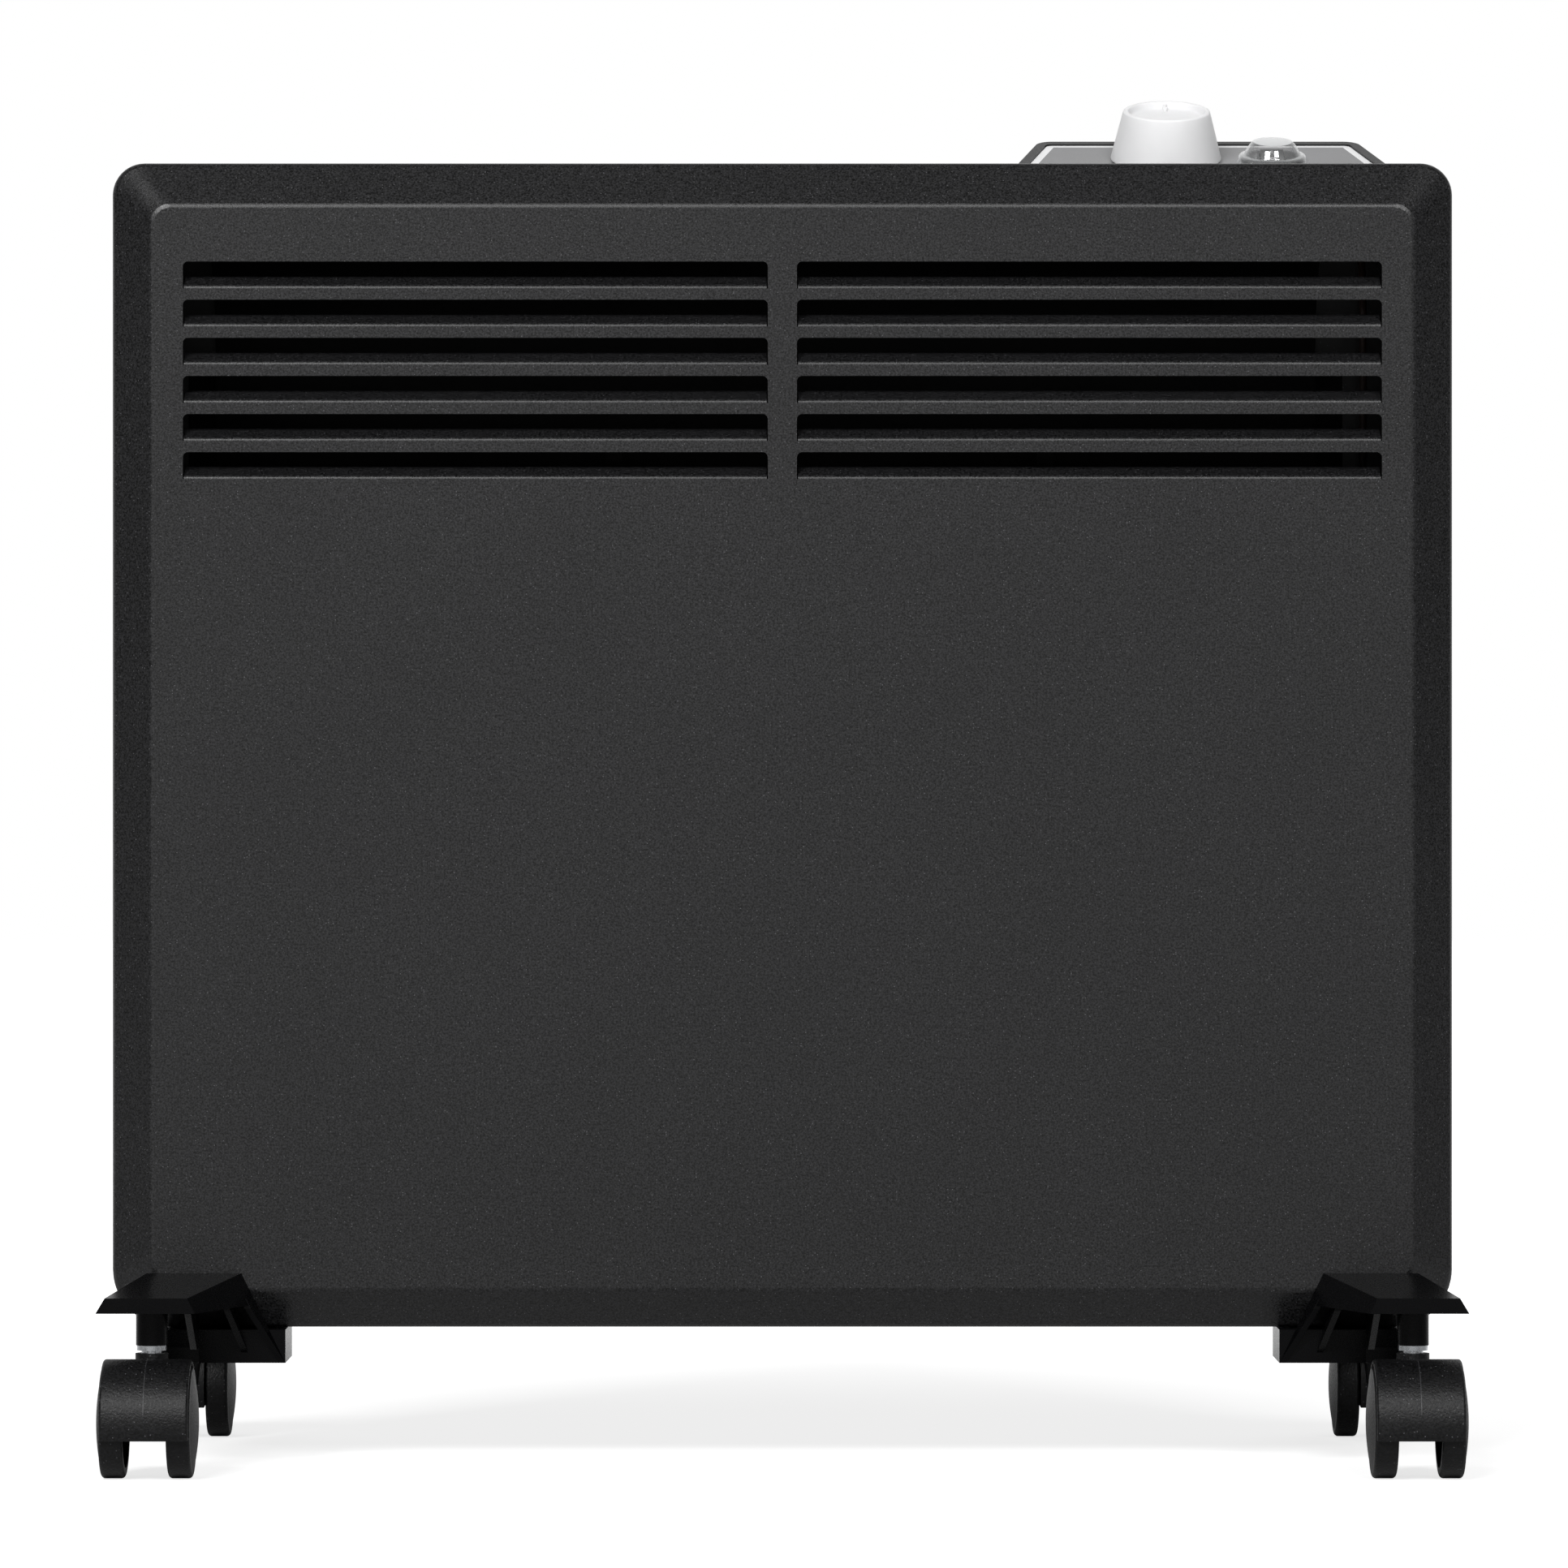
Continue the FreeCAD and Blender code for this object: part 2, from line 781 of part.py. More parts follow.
# Screws round the flange where the rear casing meets the front panel
flange_screw_x = half_width - s.screw_edge_inset
flange_screw_low = panel_low + s.screw_edge_inset
flange_screw_high = panel_high - s.screw_edge_inset
side_screw_pitch = (s.panel_height - s.side_screw_low - s.side_screw_high) / (SIZES["side_screw_rows"] - 1)
flange_screws = []
for side in (-1, 1):
    for line in range(SIZES["side_screw_rows"]):
        height = panel_low + s.side_screw_low + side_screw_pitch * line
        flange_screws.append((flange_screw_x * side, casing_flange_back, height))
for step in (-1, 0, 1):
    flange_screws.append((s.end_screw_pitch * step, casing_flange_back, flange_screw_low))
    flange_screws.append((s.end_screw_pitch * step, casing_flange_back, flange_screw_high))
flange_screw_holes = [screw_hole(head, "Y", s.panel_sheet * 3) for head in flange_screws]


def front_panel():
    """Pressed tray: raised field, bevelled border, return wall and flange, louvres with folded lips."""
    wall = s.panel_sheet
    bevel = angle_of(s.field_rise / s.border_side)
    draw_in = wall * tangent(bevel / 2)
    step_back = wall * tangent((90 - bevel) / 2)
    rim = panel_outline(as_size(0.0))
    outer = fuse(prism("XZ", rim, edge, panel_back), loft(rim, edge, field_outline(as_size(0.0)), front))
    outer = rounded(outer, s.rim_bend, all_at("Y", edge))
    outer = rounded(outer, s.field_bend, all_at("Y", front))

    inner_rim = panel_outline(wall)
    hollow = fuse(
        prism("XZ", inner_rim, edge + step_back, panel_back - wall),
        loft(inner_rim, edge + step_back, field_outline(draw_in), front + wall))
    opening = wall + s.panel_flange - s.casing_inset
    mouth = prism("XZ", casing_outline(opening), panel_back - wall * 2, panel_back + OVERSHOOT)
    shell = cut(outer, hollow, mouth)

    slots = []
    lips = []
    for column in (-1, 1):
        near = s.slot_mullion / 2
        left = near if column > 0 else -(near + slot_length)
        for line in range(SIZES["slot_rows"]):
            top = field_high - s.slot_drop - s.slot_pitch * line
            low = top - s.slot_height
            depth = (front - OVERSHOOT, front + wall + OVERSHOOT)
            slot = box((left, left + slot_length), depth, (low, top))
            slots.append(rounded(slot, s.slot_corner, upper_corner(top)))
            lips.append(louvre_lip(left + s.lip_side_gap, left + slot_length - s.lip_side_gap, low))
    louvred = fuse(cut(shell, group(slots)), *lips)
    piece("front_panel", cut(louvred, group(flange_screw_holes)))


def upper_corner(top):
    """A test for the edges through a sheet at a slot's upper corners."""
    straight = along_axis("Y")

    def test(edge_):
        return straight(edge_) and abs(edge_.BoundBox.ZMax - top.value) < 1e-4
    return test


def louvre_lip(left, right, low):
    """The strip folded inwards from a slot's lower edge, rising to the rear."""
    outer = s.lip_bend
    inner = s.lip_bend - s.panel_sheet
    across = sine(s.lip_turn)
    up = cosine(s.lip_turn)
    centre = front + outer
    bend_end = (centre - outer * up, low + outer * across)
    tip = (bend_end[0] + s.lip_reach * across, bend_end[1] + s.lip_reach * up)
    outline = [
        (front, low), (bend_end[0], bend_end[1], -outer), tip,
        (tip[0] + s.panel_sheet * up, tip[1] - s.panel_sheet * across),
        (centre - inner * up, low + inner * across), (front + s.panel_sheet, low, inner),
    ]
    return prism("YZ", outline, left, right)


# Control unit: a point on its sloping rim plane, by distance down from the rear rim and height above it
control_rear = rear - s.control_rear_gap
control_front = control_rear - s.control_depth
rim_height = panel_high + s.control_rise
control_across = half_width - s.control_inset
knob_across = control_across - s.knob_offset
switch_across = control_across + s.switch_offset
slope_sine = sine(s.control_slope)
slope_cosine = cosine(s.control_slope)


def on_slope(x, setback, height):
    """The point that lies down the slope from the rear rim and above the rim's plane."""
    return (
        x,
        control_rear - setback * slope_cosine - height * slope_sine,
        rim_height - setback * slope_sine + height * slope_cosine,
    )


def slab(low, high, margin=60.0):
    """A large block that lies between two heights over the slope."""
    reach = s.control_depth * 2 + margin
    width = s.control_rear_width * 2 + margin
    corner = on_slope(control_across - width / 2, reach - margin / 2, low)
    return tilted_box(corner, (width, reach, high - low), s.control_slope)


def control_outline(inset):
    """Plan of the control unit, drawn in by an inset all round."""
    side_inset = inset * root(1 + s.control_flare * s.control_flare)
    back = control_rear - inset
    ahead = control_front + inset

    def half_at(y):
        return s.control_rear_width / 2 + s.control_flare * (control_rear - y) - side_inset

    return [
        (control_across - half_at(ahead), ahead), (control_across + half_at(ahead), ahead),
        (control_across + half_at(back), back), (control_across - half_at(back), back),
    ]


plate_top = -s.plate_recess
plate_under = plate_top - s.plate_sheet
control_screw_x = s.control_rear_width / 2 - s.control_screw_inset
control_screw_seats = []
for side in (-1, 1):
    for y in (control_front + s.control_boss_radius * 2, control_rear - s.control_boss_radius * 2):
        control_screw_seats.append((control_across + control_screw_x * side, y, inner_high))
dial = s.dial_setback
window_rim = s.control_wall + s.control_ledge + s.window_ledge_gap
window_x = (
    knob_across - s.thermostat_width / 2 - s.window_side_gap,
    switch_across + s.switch_barrel_radius + s.window_side_gap)
window_y = (control_front + window_rim, control_rear - window_rim)
nut_room = s.bushing_height - s.knob_lift + s.hub_bushing_gap
hub_bore_top = s.spindle_height - s.knob_lift + s.spindle_gap
rocker_sweep = s.rocker_length / 2 * sine(s.rocker_tilt) + s.rocker_gap


def rear_casing():
    """Steel box behind the panel: flange, air inlets below, wall-bracket slots, control window on top."""
    wall = s.casing_sheet
    walls = prism("XZ", casing_outline(as_size(0.0)), panel_back, rear)
    shell = rounded(walls, s.casing_rear_bend, all_at("Y", rear))
    flange = prism("XZ", panel_outline(s.panel_sheet + s.casing_flange_gap), panel_back, casing_flange_back)
    room = prism("XZ", casing_outline(wall), panel_back - OVERSHOOT, inner_rear)
    hollow = rounded(room, s.casing_rear_bend - wall, all_at("Y", inner_rear))
    tools = list(flange_screw_holes)
    for line in range(SIZES["inlet_rows"]):
        y = casing_flange_back + s.inlet_setback + s.inlet_pitch_back * line
        for column in range(SIZES["inlet_columns"]):
            x = s.inlet_pitch_across * (column - (SIZES["inlet_columns"] - 1) / 2)
            tools.append(long_hole(x, y, "Z", box_low, s.inlet_length, s.inlet_width / 2))
    for side in (-1, 1):
        for step in (-1, 1):
            tools.append(long_hole(
                s.bracket_slot_spacing_across / 2 * side,
                bracket_slot_height + s.bracket_slot_spacing_up / 2 * step,
                "Y", rear, s.bracket_slot_length, s.bracket_slot_radius))
    tools.append(box(window_x, window_y, (box_high - wall - OVERSHOOT, box_high + OVERSHOOT)))
    tools.append(cylinder(
        s.gland_radius + s.gland_fit, (block_across, inner_rear - OVERSHOOT, gland_height),
        wall + OVERSHOOT * 2, "Y"))
    tools.append(cylinder(
        s.earth_radius + s.screw_hole_gap, (earth_across, inner_rear - OVERSHOOT, block_height),
        wall + OVERSHOOT * 2, "Y"))
    tools += [screw_hole(seat, "Z", s.casing_sheet * 3) for seat in control_screw_seats]
    tools += [screw_hole(seat, "Z", s.screw_shank_length * 2) for seat in foot_screw_seats]
    tools += [screw_hole(seat, "Y", s.casing_sheet * 3) for seat in rear_screw_seats]
    piece("rear_casing", cut(cut(fuse(shell, flange), hollow), group(tools)))


def long_hole(along, other, axis, at, length, radius):
    """A tool for a round-ended hole, its length along X, through a wall square to an axis."""
    straight = length / 2 - radius
    reach = s.casing_sheet + OVERSHOOT
    depth = (at - reach, at + reach)
    span = (along - straight, along + straight)
    across = (other - radius, other + radius)
    ends = []
    for x in span:
        start = (x, other, depth[0]) if axis == "Z" else (x, depth[0], other)
        ends.append(cylinder(radius, start, depth[1] - depth[0], axis))
    middle = box(span, across, depth) if axis == "Z" else box(span, depth, across)
    return fuse(middle, *ends)


# Seats of the screws that hold the feet, the shield and the element brackets
saddle_front = casing_flange_back + s.saddle_front_gap
saddle_rear = rear - s.saddle_rear_gap
saddle_middle = (saddle_front + saddle_rear) / 2
foot_screw_x = (saddle_inner + foot_outer) / 2
foot_screw_seats = []
for side in (-1, 1):
    for step_x in (-1, 1):
        for step_y in (-1, 1):
            foot_screw_seats.append((
                (foot_screw_x + s.foot_screw_pitch_across / 2 * step_x) * side,
                saddle_middle + s.foot_screw_pitch_back / 2 * step_y,
                box_low - s.foot_wall))
shield_back = inner_rear - s.shield_standoff
shield_front = shield_back - s.shield_sheet
shield_top = inner_high - s.shield_top_drop
shield_knee = shield_top - s.shield_bend
shield_feet_x = (-shield_left - s.shield_foot / 2, shield_right + s.shield_foot / 2)
rear_screw_seats = []
for x in shield_feet_x:
    for z in (shield_low + s.shield_foot, shield_knee - s.shield_foot):
        rear_screw_seats.append((x, rear, z))
bracket_x = element_half_length + s.bracket_offset
for side in (-1, 1):
    for step in (-1, 1):
        rear_screw_seats.append((
            (bracket_x - s.bracket_foot / 2) * side, rear,
            element_height + s.bracket_half_height / 2 * step))


def fasteners():
    """The screws, in one group for each job."""
    piece("casing_screws", group([screw(head, "Y", -1) for head in flange_screws]))
    piece("rear_screws", group([screw(head, "Y", -1) for head in rear_screw_seats]))
    piece("foot_screws", group([screw(head, "Z", 1) for head in foot_screw_seats]))
    piece("control_screws", group([screw(head, "Z", 1) for head in control_screw_seats]))


def heat_shield():
    """Bent sheet that stands off the rear wall and turns the warm air forward over the louvres."""
    thick = s.shield_sheet
    bend = s.shield_bend
    ahead = front + s.panel_sheet + s.shield_front_gap
    outline = [
        (shield_back, shield_low), (shield_back, shield_knee),
        (shield_back - bend, shield_top, bend), (ahead, shield_top),
        (ahead, shield_top - thick), (shield_back - bend, shield_top - thick),
        (shield_front, shield_knee, -(bend - thick)), (shield_front, shield_low),
    ]
    parts = [prism("YZ", outline, -shield_left, shield_right)]
    for x, side in ((-shield_left, -1), (shield_right, 1)):
        inner = x if side < 0 else x - thick
        parts.append(box((inner, inner + thick), (shield_front, inner_rear), (shield_low, shield_knee)))
        foot = (x - s.shield_foot, x) if side < 0 else (x, x + s.shield_foot)
        parts.append(box(foot, (inner_rear - thick, inner_rear), (shield_low, shield_knee)))
        corner = (inner_rear - thick, inner_rear)
        parts.append(box((inner, inner + thick), corner, (shield_low, shield_knee)))
    for x in (-s.hook_left, s.hook_right):
        span = (x - s.hook_width / 2, x + s.hook_width / 2)
        tip = shield_front - s.hook_reach
        roof = hook_low + s.hook_drop
        parts.append(box(span, (tip, shield_front), (roof, roof + thick)))
        parts.append(box(span, (tip, tip + thick), (hook_low, roof + thick)))
    holes = [screw_hole(seat, "Y", s.screw_shank_length) for seat in rear_screw_seats[:4]]
    piece("heat_shield", cut(fuse(*parts), group(holes)))


def heating_element():
    """Finned aluminium profile on a sheathed rod, with insulated ends in two brackets."""
    at = (s.element_back, element_height)
    half = element_half_length
    parts = [cylinder(s.element_core_radius, (-half, at[0], at[1]), half * 2, "X")]
    for lean in (s.element_wing_angle, 180 - s.element_wing_angle):
        span = s.element_wing_span
        parts.append(element_plate(lean, at, -span / 2, span, s.element_wing_sheet))
        for side in (-1, 1):
            middle = s.element_rib_place * side
            rib = element_plate(
                lean + 90, at, -s.element_rib_height / 2, s.element_rib_height, s.element_rib_sheet,
                (middle * cosine(lean), middle * sine(lean)))
            parts.append(rib)
    bore = cylinder(
        s.rod_radius + s.rod_gap, (-half - OVERSHOOT, at[0], at[1]), half * 2 + OVERSHOOT * 2, "X")
    piece("element_fins", cut(fuse(*parts), bore))
    rod_half = half + s.rod_overhang
    piece("element_rod", cylinder(s.rod_radius, (-rod_half, at[0], at[1]), rod_half * 2, "X"))
    for name, side in (("left", -1), ("right", 1)):
        end = rod_half if side > 0 else -rod_half - s.insulator_length
        stub = s.insulator_length + s.terminal_length
        pin_start = rod_half if side > 0 else -rod_half - stub
        bush = cylinder(s.insulator_radius, (end, at[0], at[1]), s.insulator_length, "X")
        pin = cylinder(s.terminal_radius, (pin_start, at[0], at[1]), stub, "X")
        piece(f"element_insulator_{name}", cut(bush, pin))
        piece(f"element_terminal_{name}", cylinder(
            s.terminal_radius, (pin_start, at[0], at[1]), stub, "X"))
        element_bracket(name, side, at)


def element_plate(lean, at, start, span, thick, centre=(0.0, 0.0)):
    """A flat fin along the element, leaning about X, that spans from a start either side of its middle."""
    lean = as_size(lean)
    y = at[0] + centre[0] + start * cosine(lean) + thick / 2 * sine(lean)
    z = at[1] + centre[1] + start * sine(lean) - thick / 2 * cosine(lean)
    return tilted_box((-element_half_length, y, z), (element_half_length * 2, span, thick), lean)


def element_bracket(name, side, at):
    """A folded steel bracket that holds one end of the rod off the rear wall."""
    thick = s.bracket_sheet
    inner = bracket_x if side > 0 else -bracket_x - thick
    height = (at[1] - s.bracket_half_height, at[1] + s.bracket_half_height)
    arm = box((inner, inner + thick), (at[0] - s.bracket_reach, inner_rear), height)
    foot_span = (bracket_x - s.bracket_foot, bracket_x + thick)
    if side < 0:
        foot_span = (-foot_span[1], -foot_span[0])
    foot = box(foot_span, (inner_rear - thick, inner_rear), height)
    hole = cylinder(s.rod_radius + s.rod_gap, (inner - OVERSHOOT, at[0], at[1]), thick + OVERSHOOT * 2, "X")
    seats = [seat for seat in rear_screw_seats[4:] if (seat[0].value > 0) == (side > 0)]
    holes = [screw_hole(seat, "Y", s.screw_shank_length) for seat in seats]
    piece(f"element_bracket_{name}", cut(fuse(arm, foot), group([hole] + holes)))


def thermal_cutout():
    """Round over-temperature switch on the front of the shield, with two flat terminals."""
    x = cutout_across
    z = cutout_height
    ahead = shield_front - s.cutout_depth
    parts = [cylinder(s.cutout_radius, (x, ahead, z), s.cutout_depth, "Y")]
    for side in (-1, 1):
        across = x + s.cutout_tab_spacing / 2 * side
        parts.append(box(
            (across - s.cutout_tab_sheet / 2, across + s.cutout_tab_sheet / 2),
            (ahead - s.cutout_tab_length, ahead),
            (z - s.cutout_tab_width / 2, z + s.cutout_tab_width / 2)))
    piece("thermal_cutout", fuse(*parts))


tip_x = -tip_across
tip_pin_y = inner_rear - s.tip_depth / 2
tip_pin_z = tip_height + s.tip_tall - s.tip_wall - s.tip_pin_drop


def tip_switch():
    """Tip-over switch: an open box with a cross pin, and a pendulum that hangs from the pin."""
    half = s.tip_width / 2
    wall = s.tip_wall
    outer = box((tip_x - half, tip_x + half), (inner_rear - s.tip_depth, inner_rear),
                (tip_height, tip_height + s.tip_tall))
    hollow = box((tip_x - half + wall, tip_x + half - wall),
                 (inner_rear - s.tip_depth - OVERSHOOT, inner_rear - wall),
                 (tip_height + wall, tip_height + s.tip_tall - wall))
    pin_start = (tip_x - half, tip_pin_y, tip_pin_z)
    pin = cylinder(s.tip_pin_radius, pin_start, s.tip_width, "X")
    piece("tip_switch_housing", fuse(cut(outer, hollow), pin))
    hub_start = (tip_x - s.tip_hub_length / 2, tip_pin_y, tip_pin_z)
    hub = cylinder(s.tip_hub_radius, hub_start, s.tip_hub_length, "X")
    arm = box((tip_x - s.tip_arm_width / 2, tip_x + s.tip_arm_width / 2),
              (tip_pin_y - s.tip_arm_width / 2, tip_pin_y + s.tip_arm_width / 2),
              (tip_pin_z - s.tip_bob_drop, tip_pin_z))
    bob = cylinder(s.tip_bob_radius, (tip_x - s.tip_bob_length / 2, tip_pin_y, tip_pin_z - s.tip_bob_drop),
                   s.tip_bob_length, "X")
    bore = cylinder(s.tip_pin_radius + s.tip_pin_gap, pin_start, s.tip_width, "X")
    piece("tip_switch_pendulum", cut(fuse(hub, arm, bob), bore))


def supply_parts():
    """Terminal block, earth screw and cable gland on the rear wall."""
    x = block_across
    depth = (inner_rear - s.block_depth, inner_rear)
    bar = box((x - s.block_width / 2, x + s.block_width / 2), depth,
              (block_height, block_height + s.block_tall))
    bores = []
    for step in (-1, 0, 1):
        bores.append(cylinder(
            s.lead_radius + s.block_bore_gap, (x + s.block_pitch * step, block_y, block_height - OVERSHOOT),
            s.block_tall + OVERSHOOT * 2, "Z"))
    piece("terminal_block", cut(bar, *bores))
    head = cylinder(s.earth_head, (earth_across, rear, block_height), s.earth_head_height, "Y")
    shank_start = (earth_across, rear - s.earth_length, block_height)
    shank = cylinder(s.earth_radius, shank_start, s.earth_length, "Y")
    piece("earth_screw", fuse(head, shank))
    inner_end = inner_rear - s.gland_nut_length
    barrel = cylinder(s.gland_radius, (x, inner_end, gland_height), s.gland_nut_length + s.casing_sheet, "Y")
    flange = cylinder(s.gland_flange, (x, rear, gland_height), s.gland_flange_length, "Y")
    nose = cylinder(s.gland_nose_radius, (x, rear, gland_height), s.gland_flange_length + s.gland_nose, "Y")
    nut = cylinder(s.gland_nut_radius, (x, inner_end, gland_height), s.gland_nut_length, "Y")
    bore = cylinder(s.gland_bore, (x, inner_end - OVERSHOOT, gland_height), gland_length + OVERSHOOT * 2, "Y")
    piece("cable_gland", cut(fuse(barrel, flange, nose, nut), bore))


def control_unit():
    """Wedge-shaped housing on top of the rear casing, with the recessed control plate."""
    ceiling = rim_height + s.control_rise
    block = rounded(prism("XY", control_outline(as_size(0.0)), box_high, ceiling),
                    s.control_corner, along_axis("Z"))
    wedge = cut(block, slab(as_size(0.0), s.control_depth))
    seat_outline = control_outline(s.control_wall)
    seat = rounded(prism("XY", seat_outline, box_high - OVERSHOOT, ceiling + OVERSHOOT),
                   s.control_corner - s.control_wall, along_axis("Z"))
    recess = common(seat, slab(plate_under, s.control_depth))
    shaft = rounded(prism("XY", control_outline(s.control_wall + s.control_ledge), box_high - OVERSHOOT,
                          ceiling + OVERSHOOT), s.control_corner - s.control_wall, along_axis("Z"))
    under = slab(-s.control_depth, plate_under)
    bosses = []
    holes = []
    for x, y, z in control_screw_seats:
        bosses.append(cylinder(s.control_boss_radius, (x, y, box_high), s.control_rise * 2))
        below = (x, y, box_high - OVERSHOOT)
        holes.append(cylinder(s.screw_shank_radius, below, s.screw_shank_length + OVERSHOOT))
    pillars = common(fuse(*bosses), under)
    pillars = common(pillars, block)
    housing = fuse(cut(wedge, recess, shaft), pillars)
    piece("control_housing", cut(housing, group(holes)))

    plate_body = rounded(
        prism("XY", control_outline(s.control_wall + s.plate_gap), box_high, ceiling),
        s.control_corner - s.control_wall - s.plate_gap, along_axis("Z"))
    plate = common(plate_body, slab(plate_under, plate_top))
    knob_hole = slope_bar(s.bushing_radius + s.bushing_hole_gap, knob_across, plate_under - OVERSHOOT,
                          plate_top + OVERSHOOT)
    switch_hole = slope_bar(s.switch_barrel_radius + s.switch_hole_gap, switch_across,
                            plate_under - OVERSHOOT, plate_top + OVERSHOOT)
    piece("control_plate", cut(plate, knob_hole, switch_hole))


def slope_bar(radius, x, low, high):
    """A round bar square to the slope on the dial line, between two heights over it."""
    low = as_size(low)
    return cylinder(radius, on_slope(x, dial, low), as_size(high) - low, angle=s.control_slope)


def slope_block(x, setback, height):
    """A block square to the slope, between two values on each of its axes; setback runs down the slope."""
    corner = on_slope(x[0], setback[1], height[0])
    extents = (x[1] - x[0], setback[1] - setback[0], height[1] - height[0])
    return tilted_box(corner, extents, s.control_slope)


def seat_on_slope(body, x, height, turn=None):
    """Stand a turned body on the dial line, its own Z square to the slope."""
    tilt(body, s.control_slope if turn is None else turn)
    place(body, on_slope(x, dial, height))
    return body


def thermostat():
    """Thermostat under the plate, its bushing, nut and spindle, and the knob."""
    x = knob_across
    half_x = s.thermostat_width / 2
    half_y = s.thermostat_length / 2
    floor = plate_under - s.thermostat_depth
    case = slope_block((x - half_x, x + half_x), (dial - half_y, dial + half_y), (floor, plate_under))
    bushing = slope_bar(s.bushing_radius, x, plate_under, plate_top + s.bushing_height)
    bore = slope_bar(s.spindle_radius + s.spindle_gap, x, plate_top - s.spindle_sunk,
                     plate_top + s.bushing_height + OVERSHOOT)
    piece("thermostat_body", cut(fuse(case, bushing), bore))

    corner = s.nut_across_flats / 2 / cosine(as_size(30.0))
    flat = corner * 0.5
    half_flats = s.nut_across_flats / 2
    hexagon = [(corner, 0.0), (flat, half_flats), (-flat, half_flats), (-corner, 0.0),
               (-flat, -half_flats), (flat, -half_flats)]
    nut = seat_on_slope(prism("XY", hexagon, 0.0, s.nut_height), x, plate_top)
    nut_bore = slope_bar(s.bushing_radius + s.nut_gap, x, plate_top - OVERSHOOT,
                         plate_top + s.nut_height + OVERSHOOT)
    piece("thermostat_nut", cut(nut, nut_bore))
    piece("thermostat_spindle", slope_bar(
        s.spindle_radius, x, plate_top - s.spindle_sunk + s.spindle_gap, plate_top + s.spindle_height))
    knob()


def knob():
    """Conical hollow knob with a dished top, a pointer rib and a hub on the spindle."""
    base = s.knob_base_radius
    top = s.knob_top_radius
    tall = s.knob_height
    lean = (base - top) / tall
    wall = s.knob_wall
    floor = tall - s.knob_dish
    ceiling = floor - wall
    inner_base = base - wall
    inner_top = base - lean * ceiling - wall
    brow = top - s.knob_rim
    profile = [
        (s.spindle_radius + s.spindle_seat_gap, nut_room), (s.knob_hub_radius, nut_room),
        (s.knob_hub_radius, ceiling), (inner_top, ceiling), (inner_base, 0.0),
        (base - s.knob_edge, 0.0), (base - lean * s.knob_edge, s.knob_edge, s.knob_edge),
        (top + lean * s.knob_edge, tall - s.knob_edge), (top - s.knob_edge, tall, s.knob_edge),
        (brow, tall), (brow - s.knob_dish / 2, floor), (0.0, floor), (0.0, hub_bore_top),
        (s.spindle_radius + s.spindle_seat_gap, hub_bore_top),
    ]
    body = seat_on_slope(turned(profile), knob_across, plate_top + s.knob_lift)
    mark = slope_block(
        (knob_across - s.pointer_width / 2, knob_across + s.pointer_width / 2),
        (dial - brow, dial - brow + s.pointer_length),
        (plate_top + s.knob_lift + floor - wall / 2, plate_top + s.knob_lift + floor + s.pointer_rise))
    piece("thermostat_knob", fuse(body, mark))


def switch():
    """Round switch through the plate, its tilted rocker, and the clear boot over both."""
    x = switch_across
    gap = s.rocker_gap
    barrel = slope_bar(s.switch_barrel_radius, x, plate_under - s.switch_barrel_depth, plate_top)
    bezel = slope_bar(s.bezel_radius, x, plate_top, plate_top + s.bezel_height)
    half_x = s.rocker_width / 2
    half_y = s.rocker_length / 2
    pocket = slope_block(
        (x - half_x - gap, x + half_x + gap), (dial - half_y - gap, dial + half_y + gap),
        (plate_top - s.rocker_sunk - rocker_sweep, plate_top + s.bezel_height + OVERSHOOT))
    pin_half = half_x + s.rocker_pin_reach
    pin_hole = cylinder(s.rocker_pin_radius + s.rocker_pin_gap, rocker_pin(x - pin_half - gap),
                        (pin_half + gap) * 2, "X")
    piece("switch_body", cut(fuse(barrel, bezel), pocket, pin_hole))

    sunk = s.rocker_sunk
    rise = s.rocker_rise + s.bezel_height
    dip = s.rocker_dip
    crown = (half_y * half_y + dip * dip) / (dip * 2)
    outline = [(-half_y, -sunk), (half_y, -sunk), (half_y, rise), (-half_y, rise, -crown)]
    paddle = prism("YZ", outline, -half_x, half_x)
    tilt(paddle, s.control_slope + s.rocker_tilt)
    place(paddle, rocker_pin(x))
    pin = cylinder(s.rocker_pin_radius, rocker_pin(x - pin_half), pin_half * 2, "X")
    piece("switch_rocker", fuse(paddle, pin))

    wall = s.boot_wall
    low = s.boot_flange_height
    top = s.boot_height
    bend = s.boot_bend
    outer = [
        (s.boot_flange_radius, 0.0), (s.boot_flange_radius, low - wall),
        (s.boot_flange_radius - wall, low, wall), (s.boot_base_radius, low),
        (s.boot_cap_radius + bend / 2, top - bend / 2), (s.boot_cap_radius, top, bend), (0.0, top),
    ]
    inner = [
        (0.0, top - wall), (s.boot_cap_radius - wall / 2, top - wall),
        (s.boot_cap_radius + bend / 2 - wall, top - bend / 2 - wall / 2, -(bend - wall)),
        (s.boot_base_radius - wall, low - wall), (s.bezel_radius + s.rocker_gap, low - wall),
        (s.bezel_radius + s.rocker_gap, 0.0),
    ]
    piece("switch_boot", seat_on_slope(turned(outer + inner), x, plate_top))


def rocker_pin(x):
    """A point on the rocker's pivot."""
    return on_slope(x, dial, plate_top)


